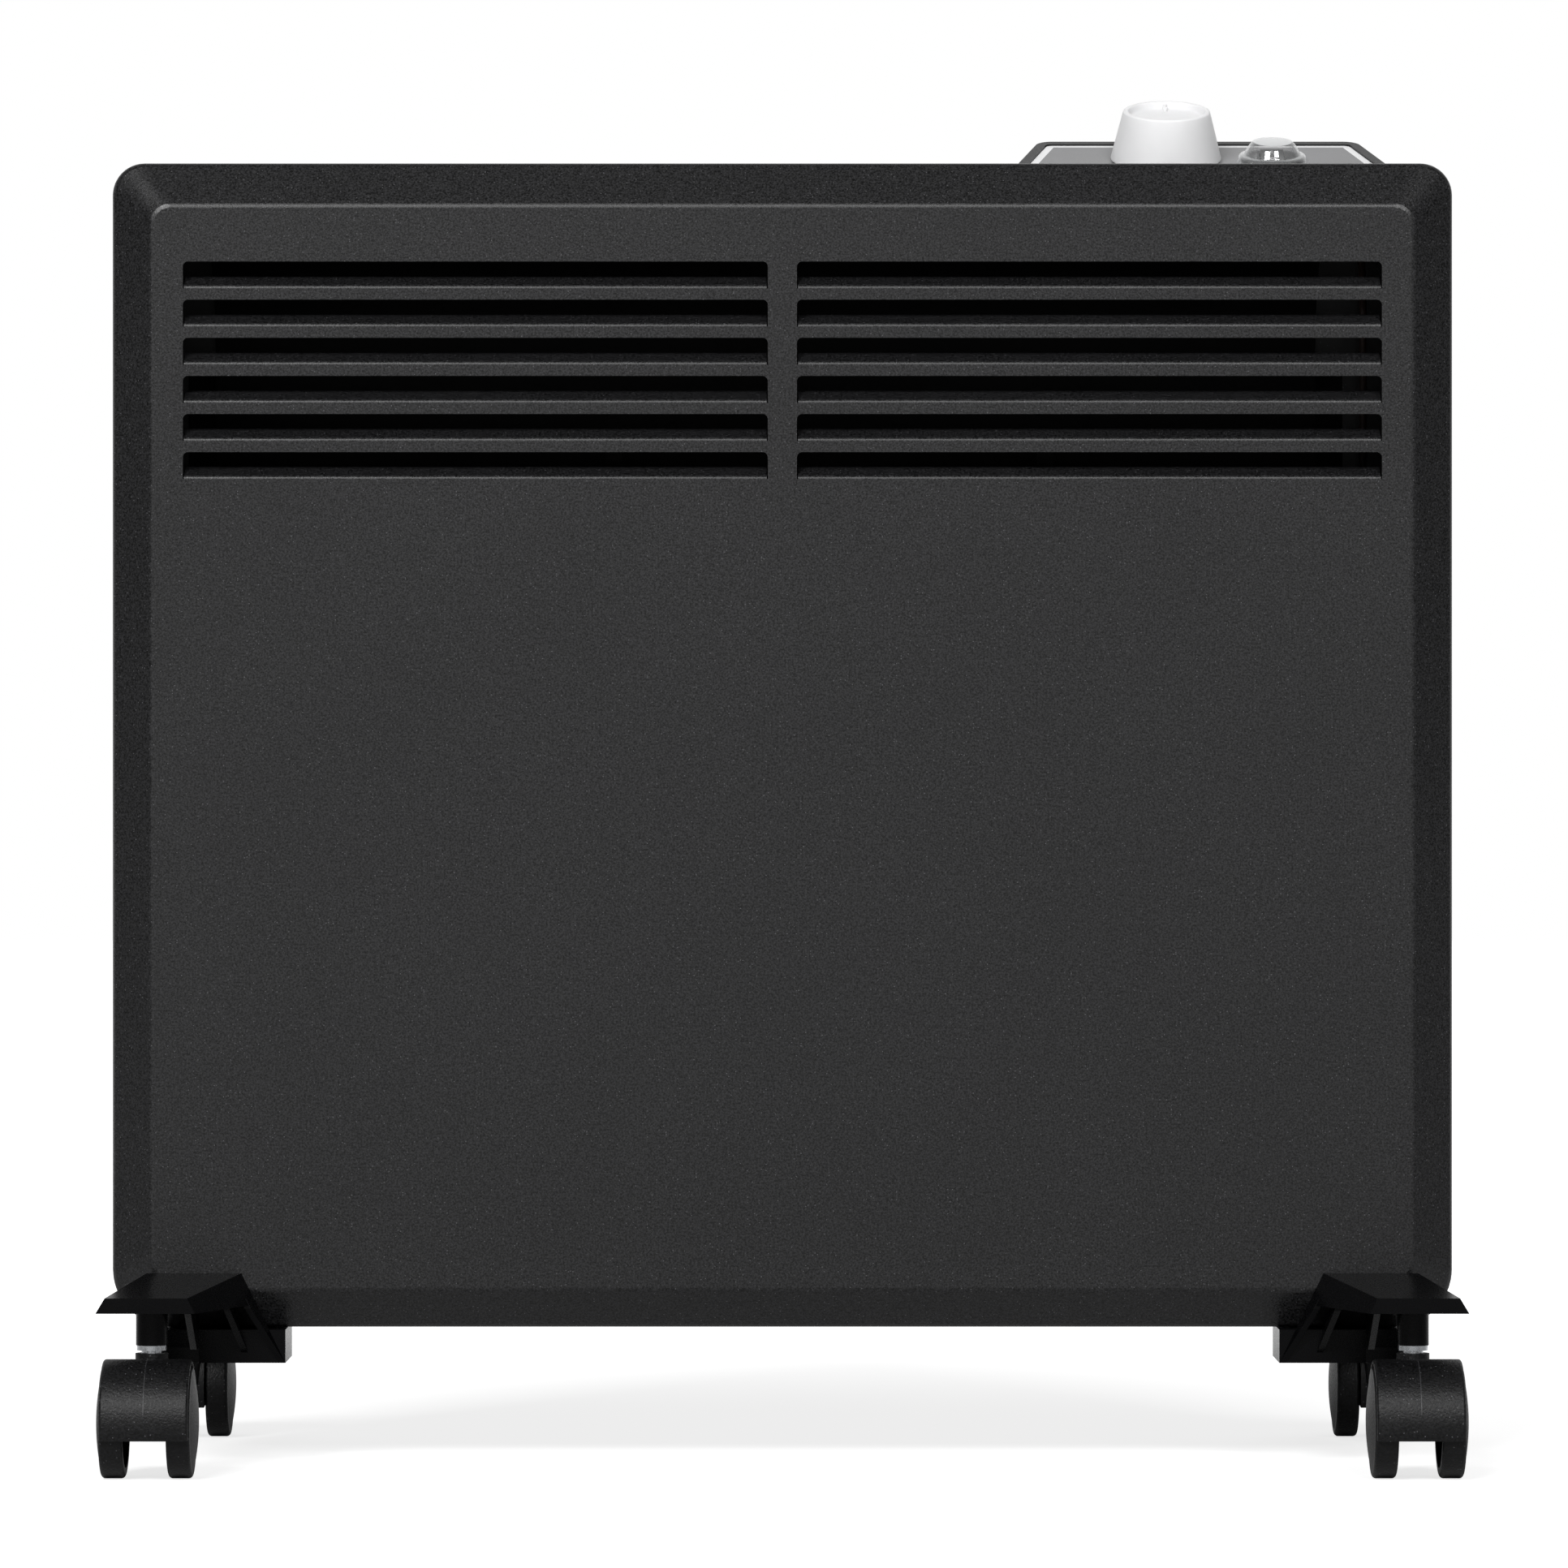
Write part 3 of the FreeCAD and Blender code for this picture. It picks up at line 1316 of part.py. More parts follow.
def leads():
    """The insulated leads, from terminal to terminal."""
    run = shield_top + s.lead_radius + s.lead_headroom
    row = s.terminal_row
    thermostat_floor = plate_under - s.thermostat_depth
    switch_floor = plate_under - s.switch_barrel_depth
    block_top = block_height + s.block_tall
    sunk = block_top - s.lead_sunk
    bench = block_top + s.lead_bend * 2 + s.lead_headroom
    step = block_top + s.lead_bend + s.lead_headroom / 2
    lane_heater = corridor_across
    lane_live = corridor_across + s.corridor_pitch * 2

    def drop(x, setback, height):
        """A terminal under the slope and the point square below it where its lead levels out."""
        down = (rim_height - setback * slope_sine + height * slope_cosine - run) / slope_cosine
        return [on_slope(x, setback, height), on_slope(x, setback, height - down)]

    live_x = block_across + s.block_pitch
    live = drop(switch_across + row / 2, dial + row, switch_floor)
    lead("lead_live", [
        (live_x, block_y, sunk), (live_x, block_y, bench), (lane_live, block_y, bench),
        (lane_live, block_y, run), (lane_live, live[1][1], run), live[1], live[0]])
    switched = drop(switch_across - row / 2, dial, switch_floor)
    thermostat_in = drop(knob_across + row, dial, thermostat_floor)
    lead("lead_switched", switched + thermostat_in[::-1])

    heater = drop(knob_across - row, dial - row, thermostat_floor)
    tab_y = shield_front - s.cutout_depth - s.cutout_tab_length + s.lead_radius * 2
    tab_reach = s.cutout_tab_spacing / 2 + s.cutout_tab_sheet / 2
    lead("lead_heater", heater + [
        (lane_heater, heater[1][1], run), (lane_heater, tab_y, run - s.lead_bend * 4),
        (lane_heater, tab_y, cutout_height), (cutout_across + tab_reach, tab_y, cutout_height)])

    pin_end = element_half_length + s.rod_overhang + s.insulator_length + s.terminal_length
    loop_x = pin_end + s.lead_bend * 2
    at = (s.element_back, element_height)
    aside = cutout_across - tab_reach - s.lead_bend * 2
    low = cutout_height - s.lead_bend * 4
    lead("lead_element", [
        (cutout_across - tab_reach, tab_y, cutout_height), (aside, tab_y, cutout_height),
        (aside, tab_y, low), (loop_x, tab_y, low), (loop_x, *at), (pin_end, *at)])
    lead("lead_neutral", [
        (block_across, block_y, sunk), (block_across, block_y, bench), (-loop_x, block_y, bench),
        (-loop_x, at[0], bench), (-loop_x, *at), (-pin_end, *at)])
    earth_x = block_across - s.block_pitch
    lead("lead_earth", [
        (earth_x, block_y, sunk), (earth_x, block_y, step), (earth_across, block_y, step),
        (earth_across, block_y, block_height + s.earth_radius)])


def mirror_pair(name, thing):
    """The right-hand piece and its mirror image on the left."""
    piece(f"{name}_right", thing)
    piece(f"{name}_left", mirrored(thing, (1, 0, 0)))


toe_root = front - s.toe_clear
toe_tip = toe_root - s.toe_reach
foot_top = panel_low - s.foot_panel_gap
socket_low = s.hood_boss_top + s.stem_neck + s.stem_collar_height

# Room under the foot for the hood of a caster that turns about its stem
hood_radius = s.wheel_radius + s.hood_gap + s.hood_wall
swing_top = s.wheel_radius + hood_radius + s.swing_gap
swing_rise = s.foot_low - s.wheel_radius
swing_reach = s.swivel_offset + root(hood_radius * hood_radius - swing_rise * swing_rise)
swing_radius = root(swing_reach * swing_reach + s.hood_half_width * s.hood_half_width) + s.swing_gap


def toe_section(high, inner, outer, inset, low):
    """Cross-section of the toe at one place: flat top, sides that flare down to a low edge."""
    top = high - inset
    left = inner + inset
    right = outer - inset
    reach = top - low
    return [
        (left - s.toe_flare_inner * reach, low), (right + s.toe_flare_outer * reach, low),
        (right, top), (left, top),
    ]


def roof_at(y):
    """Height of the toe's top at a distance from the middle plane."""
    return s.toe_ridge - (s.toe_ridge - s.toe_brow) * (toe_root - y) / s.toe_reach


def gusset(low, reach, lean, taper):
    """A rib that leans with height, from its lowest point on the block out under the toe."""
    width = s.rib_sheet
    top = s.toe_low + s.toe_wall
    x, z = low
    shift = taper * reach
    root_x = x + lean * (top - z)
    tip_z = s.toe_low - s.rib_tip
    tip_x = x + lean * (tip_z - z) + shift
    root_end = [(x, z), (x + width, z), (root_x + width, top), (root_x, top)]
    tip_end = [(tip_x, tip_z), (tip_x + width, tip_z), (root_x + shift + width, top), (root_x + shift, top)]
    return loft(root_end, toe_root, tip_end, toe_root - reach)


def foot_half(block_inner, flank_foot):
    """The front half of a foot: the toe with its socket, the ribs below it and half the block."""
    ridge = (s.toe_ridge, toe_ridge_inner, toe_ridge_outer)
    brow = (s.toe_brow, toe_brow_inner, toe_brow_outer)
    wall = s.toe_wall
    below = s.toe_low - OVERSHOOT
    outer = loft(toe_section(*ridge, 0.0, s.toe_low), toe_root, toe_section(*brow, 0.0, s.toe_low), toe_tip)
    inner = loft(toe_section(*ridge, wall, below), toe_root - wall,
                 toe_section(*brow, wall, below), toe_tip + wall)
    flank_taper = (toe_brow_inner - toe_ridge_inner) / s.toe_reach
    upright = as_size(0.0)
    middle_low = (half_width - s.rib_middle_inset, s.rib_middle_low)
    ribs = [
        gusset((half_width - s.rib_outer_inset, s.foot_low), s.rib_outer_reach, upright, upright),
        gusset(middle_low, s.rib_middle_reach, s.rib_middle_lean, upright),
        gusset(flank_foot, s.rib_inner_reach, s.toe_flare_inner, flank_taper),
    ]
    stem_y = -s.stem_spread
    socket = cylinder(s.socket_radius, (stem_across, stem_y, socket_low),
                      roof_at(stem_y) - wall / 2 - socket_low)
    block = box((block_inner, foot_outer), (toe_root, -s.block_inner_end), (s.foot_low, foot_top))
    hollow = box((block_inner + s.foot_wall, foot_outer - s.foot_wall),
                 (toe_root + s.foot_wall, -s.block_inner_end - s.foot_wall),
                 (s.foot_low - OVERSHOOT, foot_top - s.foot_wall))
    return fuse(cut(outer, inner), socket, cut(block, hollow), *ribs)


def foot():
    """One ribbed foot: two toes that hold the casters, a hollow block and a saddle under the casing."""
    flank_low = toe_ridge_inner - s.toe_flare_inner * (s.toe_ridge - s.foot_low)
    front_half = foot_half(foot_inner, (flank_low, s.foot_low))
    rear_flank_low = s.toe_ridge - (toe_ridge_inner - foot_rear_inner) / s.toe_flare_inner
    rear_half = mirrored(foot_half(foot_rear_inner, (foot_rear_inner, rear_flank_low)), (0, 1, 0))
    waist = box((foot_inner + s.block_waist, foot_outer), (-s.block_inner_end, s.block_inner_end),
                (s.foot_low, foot_top))
    saddle = box((saddle_inner, foot_outer), (saddle_front, saddle_rear),
                 (foot_top - s.foot_wall, box_low))
    saddle_room = box((saddle_inner + s.foot_wall, foot_outer - s.foot_wall),
                      (saddle_front + s.foot_wall, saddle_rear - s.foot_wall),
                      (s.foot_low - OVERSHOOT, box_low - s.foot_wall))
    bores = []
    for end in (-1, 1):
        mouth = (stem_across, s.stem_spread * end, socket_low - OVERSHOOT)
        bores.append(cylinder(s.stem_radius + s.socket_fit, mouth, s.stem_rise + OVERSHOOT))
        swing_low = (stem_across, s.stem_spread * end, s.foot_low - OVERSHOOT)
        bores.append(cylinder(swing_radius, swing_low, swing_top - s.foot_low + OVERSHOOT))
    holes = [screw_hole(seat, "Z", s.foot_wall * 2) for seat in foot_screw_seats if seat[0].value > 0]
    whole = cut(fuse(front_half, rear_half, waist, saddle), saddle_room)
    mirror_pair("foot", cut(whole, group(bores + holes)))


def caster(name, side, end):
    """One twin-wheel caster: stem in the foot, swivelling hood with its axle, and two wheels."""
    x = stem_across * side
    y = s.stem_spread * end
    axle_y = y + s.swivel_offset * end
    hub_z = s.wheel_radius
    collar_low = s.hood_boss_top + s.stem_neck
    stem_low = s.hood_boss_top - s.stem_sunk
    shank = cylinder(s.stem_radius, (x, y, stem_low), socket_low + s.stem_rise - stem_low)
    collar = cylinder(s.stem_collar_radius, (x, y, collar_low), s.stem_collar_height)
    piece(f"caster_stem_{name}", fuse(shank, collar))

    web_half = s.wheel_gap / 2 - s.web_gap
    inner = s.wheel_radius + s.hood_gap
    outer = hood_radius
    low = s.hood_low_angle
    back = s.hood_back_angle
    fender = prism("YZ", [
        (axle_y + outer * cosine(low) * end, hub_z - outer * sine(low)),
        (axle_y, hub_z + outer, outer * end),
        (axle_y - outer * sine(back) * end, hub_z + outer * cosine(back), outer * end),
        (axle_y - inner * sine(back) * end, hub_z + inner * cosine(back)),
        (axle_y, hub_z + inner, -inner * end),
        (axle_y + inner * cosine(low) * end, hub_z - inner * sine(low), -inner * end),
    ], x - s.hood_half_width, x + s.hood_half_width)
    fender = rounded(fender, s.hood_edge, round_edge_of(outer))
    disc = cylinder(inner + s.hood_wall / 2, (x - web_half, axle_y, hub_z), web_half * 2, "X")
    keep = prism("YZ", [
        (axle_y - outer * end, s.hood_web_low), (axle_y + outer * end, s.hood_web_low_outer),
        (axle_y + outer * end, hub_z + outer), (axle_y - outer * end, hub_z + outer)],
        x - s.hood_half_width, x + s.hood_half_width)
    boss = cylinder(s.hood_boss_radius, (x, y, s.hood_boss_low), s.hood_boss_top - s.hood_boss_low)
    rib_y = (y, axle_y) if end > 0 else (axle_y, y)
    neck = box((x - web_half, x + web_half), rib_y, (s.hood_web_low, s.hood_boss_low + s.stem_radius))
    bore_low = (x, y, stem_low - s.stem_gap)
    stem_bore = cylinder(s.stem_radius + s.stem_gap, bore_low, s.stem_sunk + OVERSHOOT * 2)
    axle_hole = cylinder(s.axle_radius + s.axle_seat_gap, (x - web_half - OVERSHOOT, axle_y, hub_z),
                         (web_half + OVERSHOOT) * 2, "X")
    web = common(fuse(disc, neck), keep)
    piece(f"caster_hood_{name}", cut(fuse(fender, web, boss), stem_bore, axle_hole))

    axle_half = s.wheel_gap / 2 + s.axle_sunk
    axle_start = (x - axle_half, axle_y, hub_z)
    piece(f"caster_axle_{name}", cylinder(s.axle_radius, axle_start, axle_half * 2, "X"))
    for hand, way in (("left", -1), ("right", 1)):
        wheel(f"caster_wheel_{name}_{hand}", (x, axle_y, hub_z), way)


def round_edge_of(radius):
    """A test for arcs of one radius."""
    def test(edge):
        return abs(getattr(edge.Curve, "Radius", 0.0) - radius.value) < 1e-4
    return test


def wheel(label, centre, way):
    """One wheel: rounded tread, domed outer face, recessed inner face and a blind axle bore."""
    near = s.wheel_gap / 2
    far = near + s.tread_width
    radius = s.wheel_radius
    nose = s.tread_edge
    rise = s.wheel_crown
    dome_radius = radius - nose - s.crown_edge
    bore = s.axle_radius + s.axle_gap
    blind = near + s.axle_sunk + s.axle_end_gap
    dome = (dome_radius * dome_radius + rise * rise) / (rise * 2)
    deep = near + s.wheel_recess
    profile = [
        (near * way, bore), (near * way, s.wheel_recess_inner), (deep * way, s.wheel_recess_inner),
        (deep * way, s.wheel_recess_outer), (near * way, s.wheel_recess_outer), (near * way, radius - nose),
        ((near + nose) * way, radius, -nose * way), ((far - nose) * way, radius),
        (far * way, radius - nose, -nose * way), (far * way, dome_radius),
        ((far + rise) * way, 0.0, -dome * way), (blind * way, 0.0), (blind * way, bore),
    ]
    body = turned(profile, "H_Axis")
    place(body, centre)
    piece(label, body)


front_panel()
rear_casing()
fasteners()
heat_shield()
heating_element()
thermal_cutout()
tip_switch()
supply_parts()
control_unit()
thermostat()
switch()
foot()
for place_name, hand_side, end_side in (
        ("front_left", -1, -1), ("front_right", 1, -1), ("rear_left", -1, 1), ("rear_right", 1, 1)):
    caster(place_name, hand_side, end_side)
leads()

doc.recompute()
for thing in doc.Objects:
    if "Invalid" in thing.State or "Error" in thing.State:
        raise RuntimeError(f"{thing.Label} failed: {thing.State}")
for thing in pieces:
    if thing.Shape.isNull() or not thing.Shape.isValid() or not thing.Shape.Solids:
        raise RuntimeError(f"{thing.Label} has no valid solid")
os.makedirs("parts", exist_ok=True)
for thing in pieces:
    thing.Shape.exportStep(f"parts/{thing.Label}.step")
    print(f"{thing.Label}: {len(thing.Shape.Solids)} solid(s), {thing.Shape.Volume:.1f} mm3")
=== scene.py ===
"""Finish, printed details and studio picture of a floor-standing convector heater."""

import json
import logging
import math
from dataclasses import dataclass, field
from enum import Enum
from typing import Iterable, Optional, Sequence, Union

import bmesh
import bpy
from mathutils import Matrix, Vector


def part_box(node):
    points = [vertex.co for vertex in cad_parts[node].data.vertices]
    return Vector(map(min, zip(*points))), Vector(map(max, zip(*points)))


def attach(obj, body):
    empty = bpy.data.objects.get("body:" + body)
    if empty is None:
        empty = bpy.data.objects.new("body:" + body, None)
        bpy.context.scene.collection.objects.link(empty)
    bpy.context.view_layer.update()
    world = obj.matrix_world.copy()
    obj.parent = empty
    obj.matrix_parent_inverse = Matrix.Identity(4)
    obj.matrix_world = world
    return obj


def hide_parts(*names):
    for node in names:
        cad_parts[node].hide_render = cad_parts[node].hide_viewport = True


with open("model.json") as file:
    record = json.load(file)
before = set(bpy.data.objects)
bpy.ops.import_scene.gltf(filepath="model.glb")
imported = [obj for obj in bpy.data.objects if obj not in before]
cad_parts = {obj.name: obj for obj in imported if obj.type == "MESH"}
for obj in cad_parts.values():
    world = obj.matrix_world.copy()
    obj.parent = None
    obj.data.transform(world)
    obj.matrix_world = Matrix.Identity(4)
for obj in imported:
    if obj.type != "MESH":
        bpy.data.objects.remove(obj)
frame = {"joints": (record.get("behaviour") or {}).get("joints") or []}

LOG = logging.getLogger("heater")
MM = 0.001

# Levels between which most of a noise texture lies, for the fine grain and for the wide clouds.
GRAIN_SPAN = (0.3, 0.7)
CLOUD_SPAN = (0.35, 0.65)
# Half angle of a corner from which it counts as straight.
STRAIGHT = math.radians(89.0)
# Radius in mm below which a turned point lies on the axis.
ON_AXIS = 1e-6
# Turn below which three points count as lying on one line.
FLAT_TURN = 1e-9
# Angle from which an edge is shaded as sharp.
SHARP_EDGE = math.radians(40.0)
# Broken edges: angle from which an edge gets one, its steps, and its width in mm on small mouldings.
BROKEN_EDGE_ANGLE = math.radians(35.0)
BROKEN_EDGE_STEPS = 2
SMALL_MOULDING_EDGE = 0.2

Socket = Union[bpy.types.NodeSocket, float, Sequence[float]]
Colour = tuple[float, float, float, float]
Point2D = tuple[float, float]
Corner2D = tuple[float, float, float]


class Station(Enum):
    """The four caster places, named as in the assembly."""

    FRONT_LEFT = "front_left"
    FRONT_RIGHT = "front_right"
    REAR_LEFT = "rear_left"
    REAR_RIGHT = "rear_right"

    @property
    def away(self) -> int:
        """Way in Y from the middle of the heater to the caster: -1 front, 1 rear."""
        return -1 if self.value.startswith("front") else 1


class Hand(Enum):
    """Left and right pieces of a pair."""

    LEFT = "left"
    RIGHT = "right"


def linear(code: str) -> Colour:
    """Turn an sRGB hex colour into the linear colour a shader takes.

    Args:
        code: Six hex digits, such as "2b2b2c".

    Returns:
        Red, green, blue and an alpha of 1.
    """
    channels = []
    for start in (0, 2, 4):
        value = int(code[start:start + 2], 16) / 255.0
        channels.append(value / 12.92 if value <= 0.04045 else ((value + 0.055) / 1.055) ** 2.4)
    return (channels[0], channels[1], channels[2], 1.0)


def add_node(tree: bpy.types.NodeTree, kind: str,
             inputs: Optional[dict[Union[str, int], Socket]] = None, **settings: object) -> bpy.types.Node:
    """Add one shader node, with its settings, constants and links.

    Args:
        tree: Node tree that gets the node.
        kind: Blender's name for the node type.
        inputs: Constant or output socket for each named or numbered input.
        settings: Properties of the node itself.

    Returns:
        The new node.
    """
    node = tree.nodes.new(kind)
    for name, value in settings.items():
        setattr(node, name, value)
    for key, value in (inputs or {}).items():
        if isinstance(value, bpy.types.NodeSocket):
            tree.links.new(value, node.inputs[key])
        else:
            node.inputs[key].default_value = value
    return node


def set_ramp(node: bpy.types.Node, stops: Sequence[tuple[float, Colour]]) -> None:
    """Give a colour ramp its stops, from low to high."""
    elements = node.color_ramp.elements
    while len(elements) < len(stops):
        elements.new(1.0)
    for element, (position, colour) in zip(elements, stops):
        element.position = position
        element.color = colour


@dataclass(frozen=True)
class Finish:
    """A real material with its making, as a shader.

    The surface varies a little in colour over `cloud` and carries a fine relief of size `grain`.
    """

    name: str
    tint: str
    shade: str
    roughness: float
    grain: float = 0.5
    relief: float = 0.02
    cloud: float = 30.0
    metallic: float = 0.0
    ior: float = 1.5
    specular: float = 0.5
    spread: float = 0.06

    def material(self) -> bpy.types.Material:
        """Return the material, made on first use."""
        made = bpy.data.materials.get(self.name)
        if made is None:
            made = bpy.data.materials.new(self.name)
            made.use_nodes = True
            made.node_tree.nodes.clear()
            shader = self.shader(made.node_tree)
            add_node(made.node_tree, "ShaderNodeOutputMaterial", {"Surface": shader.outputs[0]})
        return made

    def shader(self, tree: bpy.types.NodeTree) -> bpy.types.Node:
        """Build the shader nodes and return the last one."""
        place = add_node(tree, "ShaderNodeTexCoord").outputs["Object"]
        clouds = add_node(tree, "ShaderNodeTexNoise",
                          {"Vector": place, "Scale": 1.0 / (self.cloud * MM), "Detail": 3.0})
        colours = add_node(tree, "ShaderNodeValToRGB", {"Fac": clouds.outputs["Fac"]})
        set_ramp(colours, ((CLOUD_SPAN[0], linear(self.shade)), (CLOUD_SPAN[1], linear(self.tint))))
        grains = add_node(tree, "ShaderNodeTexNoise",
                          {"Vector": place, "Scale": 1.0 / (self.grain * MM), "Detail": 2.0})
        gloss = add_node(tree, "ShaderNodeMapRange",
                         {"Value": grains.outputs["Fac"], "From Min": GRAIN_SPAN[0],
                          "From Max": GRAIN_SPAN[1], "To Min": self.roughness - self.spread,
                          "To Max": self.roughness + self.spread})
        bumps = add_node(tree, "ShaderNodeBump",
                         {"Height": grains.outputs["Fac"], "Strength": 1.0, "Distance": self.relief * MM})
        return add_node(tree, "ShaderNodeBsdfPrincipled",
                        {"Base Color": colours.outputs["Color"], "Roughness": gloss.outputs["Result"],
                         "Metallic": self.metallic, "IOR": self.ior, "Specular IOR Level": self.specular,
                         "Normal": bumps.outputs["Normal"]})


@dataclass(frozen=True)
class PebbledSkin(Finish):
    """A fine pebbled skin, baked on or moulded, with pale points painted in as glints of light."""

    # Colour, spacing, share and size of the pale points painted in as glints.
    painted_glint_tint: str = "4a4a4c"
    painted_glint_pitch: float = 0.8
    painted_glint_share: float = 0.08
    mottle: float = 0.5
    painted_glint_radius: float = 0.25

    def shader(self, tree: bpy.types.NodeTree) -> bpy.types.Node:
        """Vary the plain finish's colour at random with the grain, and paint in pale points as glints."""
        coat = Finish.shader(self, tree)
        place = add_node(tree, "ShaderNodeTexCoord").outputs["Object"]
        pebbles = add_node(tree, "ShaderNodeTexNoise",
                           {"Vector": place, "Scale": 1.0 / (self.grain * MM), "Detail": 1.0})
        level = add_node(tree, "ShaderNodeMapRange",
                         {"Value": pebbles.outputs["Fac"], "From Min": GRAIN_SPAN[0],
                          "From Max": GRAIN_SPAN[1], "To Min": 1.0 - self.mottle,
                          "To Max": 1.0 + self.mottle})
        # Painted glints: a few small cells of the grain are painted pale to stand for the sparkle of light
        # on it.
        cells = add_node(tree, "ShaderNodeTexVoronoi",
                         {"Vector": place, "Scale": 1.0 / (self.painted_glint_pitch * MM), "Randomness": 1.0})
        chosen = add_node(tree, "ShaderNodeSeparateColor", {"Color": cells.outputs["Color"]})
        few = add_node(tree, "ShaderNodeMath", {0: chosen.outputs["Red"], 1: self.painted_glint_share},
                       operation="LESS_THAN")
        near = add_node(tree, "ShaderNodeMath", {0: cells.outputs["Distance"], 1: self.painted_glint_radius},
                        operation="LESS_THAN")
        painted_glint_mask = add_node(tree, "ShaderNodeMath", {0: few.outputs[0], 1: near.outputs[0]},
                        operation="MULTIPLY")
        base = coat.inputs["Base Color"].links[0].from_socket
        mottled = add_node(tree, "ShaderNodeVectorMath", {0: base, "Scale": level.outputs["Result"]},
                           operation="SCALE")
        mixed = add_node(tree, "ShaderNodeMix",
                         {"Factor": painted_glint_mask.outputs[0], 6: mottled.outputs[0], 7: linear(self.painted_glint_tint)},
                         data_type="RGBA")
        tree.links.new(mixed.outputs[2], coat.inputs["Base Color"])
        return coat


@dataclass(frozen=True)
class DrawnMetal(Finish):
    """Rolled or drawn metal: fine lines along one axis that stretch the reflections."""

    lines: tuple[float, float, float] = (1.0, 1.0, 0.05)

    def shader(self, tree: bpy.types.NodeTree) -> bpy.types.Node:
        """Stretch the grain of the plain finish along the rolling direction."""
        metal = Finish.shader(self, tree)
        place = add_node(tree, "ShaderNodeTexCoord").outputs["Object"]
        stretched = add_node(tree, "ShaderNodeMapping", {"Vector": place, "Scale": self.lines})
        for node in tree.nodes:
            if node.type == "TEX_NOISE":
                tree.links.new(stretched.outputs["Vector"], node.inputs["Vector"])
        return metal


@dataclass(frozen=True)
class MilkyPlastic(Finish):
    """Pale moulded plastic: light sinks in a few millimetres, so thin walls glow and shading is soft."""

    depth: float = 3.0
    milk: float = 0.5

    def shader(self, tree: bpy.types.NodeTree) -> bpy.types.Node:
        """Let light sink into the plain finish."""
        body = Finish.shader(self, tree)
        body.inputs["Subsurface Weight"].default_value = self.milk
        body.inputs["Subsurface Radius"].default_value = (1.0, 1.0, 1.0)
        body.inputs["Subsurface Scale"].default_value = self.depth * MM
        return body


@dataclass(frozen=True)
class ClearVinyl(Finish):
    """Clear moulded vinyl: a thin wall that hardly bends the light, milky edge on, with a sharp sheen.

    The wall's two faces count as one, so `skin_mirror` is what both reflect when seen square on.
    """

    clear: float = 0.84
    edge_clear: float = 0.2
    skin_mirror: float = 0.085
    skin_roughness: float = 0.03
    skin_rise: float = 5.0
    veil_span: tuple[float, float] = (0.35, 0.9)

    def shader(self, tree: bpy.types.NodeTree) -> bpy.types.Node:
        """Let light through the plain finish, under a reflecting skin, once per wall on its outer side."""
        milk = Finish.shader(self, tree)
        clear = add_node(tree, "ShaderNodeBsdfTransparent")
        facing = add_node(tree, "ShaderNodeLayerWeight", {"Blend": 0.5})
        share = add_node(tree, "ShaderNodeMapRange",
                         {"Value": facing.outputs["Facing"], "From Min": self.veil_span[0],
                          "From Max": self.veil_span[1], "To Min": 1.0 - self.clear,
                          "To Max": 1.0 - self.edge_clear})
        inside = add_node(tree, "ShaderNodeNewGeometry").outputs["Backfacing"]
        outside = add_node(tree, "ShaderNodeMath", {0: 1.0, 1: inside}, operation="SUBTRACT")
        veil = add_node(tree, "ShaderNodeMath", {0: share.outputs["Result"], 1: outside.outputs[0]},
                        operation="MULTIPLY")
        wall = add_node(tree, "ShaderNodeMixShader",
                        {0: veil.outputs[0], 1: clear.outputs[0], 2: milk.outputs[0]})
        skin = add_node(tree, "ShaderNodeBsdfGlossy",
                        {"Color": linear("ffffff"), "Roughness": self.skin_roughness})
        rise = add_node(tree, "ShaderNodeMath", {0: facing.outputs["Facing"], 1: self.skin_rise},
                        operation="POWER")
        mirror = add_node(tree, "ShaderNodeMapRange",
                          {"Value": rise.outputs[0], "To Min": self.skin_mirror, "To Max": 1.0})
        sheen = add_node(tree, "ShaderNodeMath", {0: mirror.outputs["Result"], 1: outside.outputs[0]},
                         operation="MULTIPLY")
        return add_node(tree, "ShaderNodeMixShader",
                        {0: sheen.outputs[0], 1: wall.outputs[0], 2: skin.outputs[0]})


# Panel paint: matt black with a soft sheen on the bends and a scatter of pale points painted in as glints.
# The real grain of about 0.3 mm is drawn at 0.65 mm, so that it shows in the picture.
TEXTURED_POWDER = PebbledSkin("textured_black_powder_coat_on_steel", "1a1a1b", "181819", 0.35,
                              grain=0.65, relief=0.055, cloud=60.0, specular=0.41, mottle=0.9)
# Casing paint: the same black without the coarse grain, so the back looks smoother, and with fewer pale
# points painted in as glints.
SMOOTH_POWDER = PebbledSkin("smooth_black_powder_coat_on_steel", "161617", "141415", 0.36, grain=0.5,
                            relief=0.01, painted_glint_share=0.02, mottle=0.2)
# Shield: dull heat-proof paint, nearly black behind the louvres.
HEAT_PAINT = Finish("heat_proof_black_paint_on_steel", "0a0a0a", "080808", 0.6, grain=0.5, relief=0.01,
                    specular=0.1)
# Feet: fine spark-eroded mould grain, half gloss at a low angle.
MOULDED_ABS = Finish("moulded_black_abs", "040405", "030304", 0.28, grain=0.6, relief=0.004, specular=0.11)
# Control housing and gland: the same black, a little duller.
SATIN_ABS = Finish("satin_moulded_black_abs", "1a1a1b", "151516", 0.42, grain=0.5, relief=0.015,
                   specular=0.3)
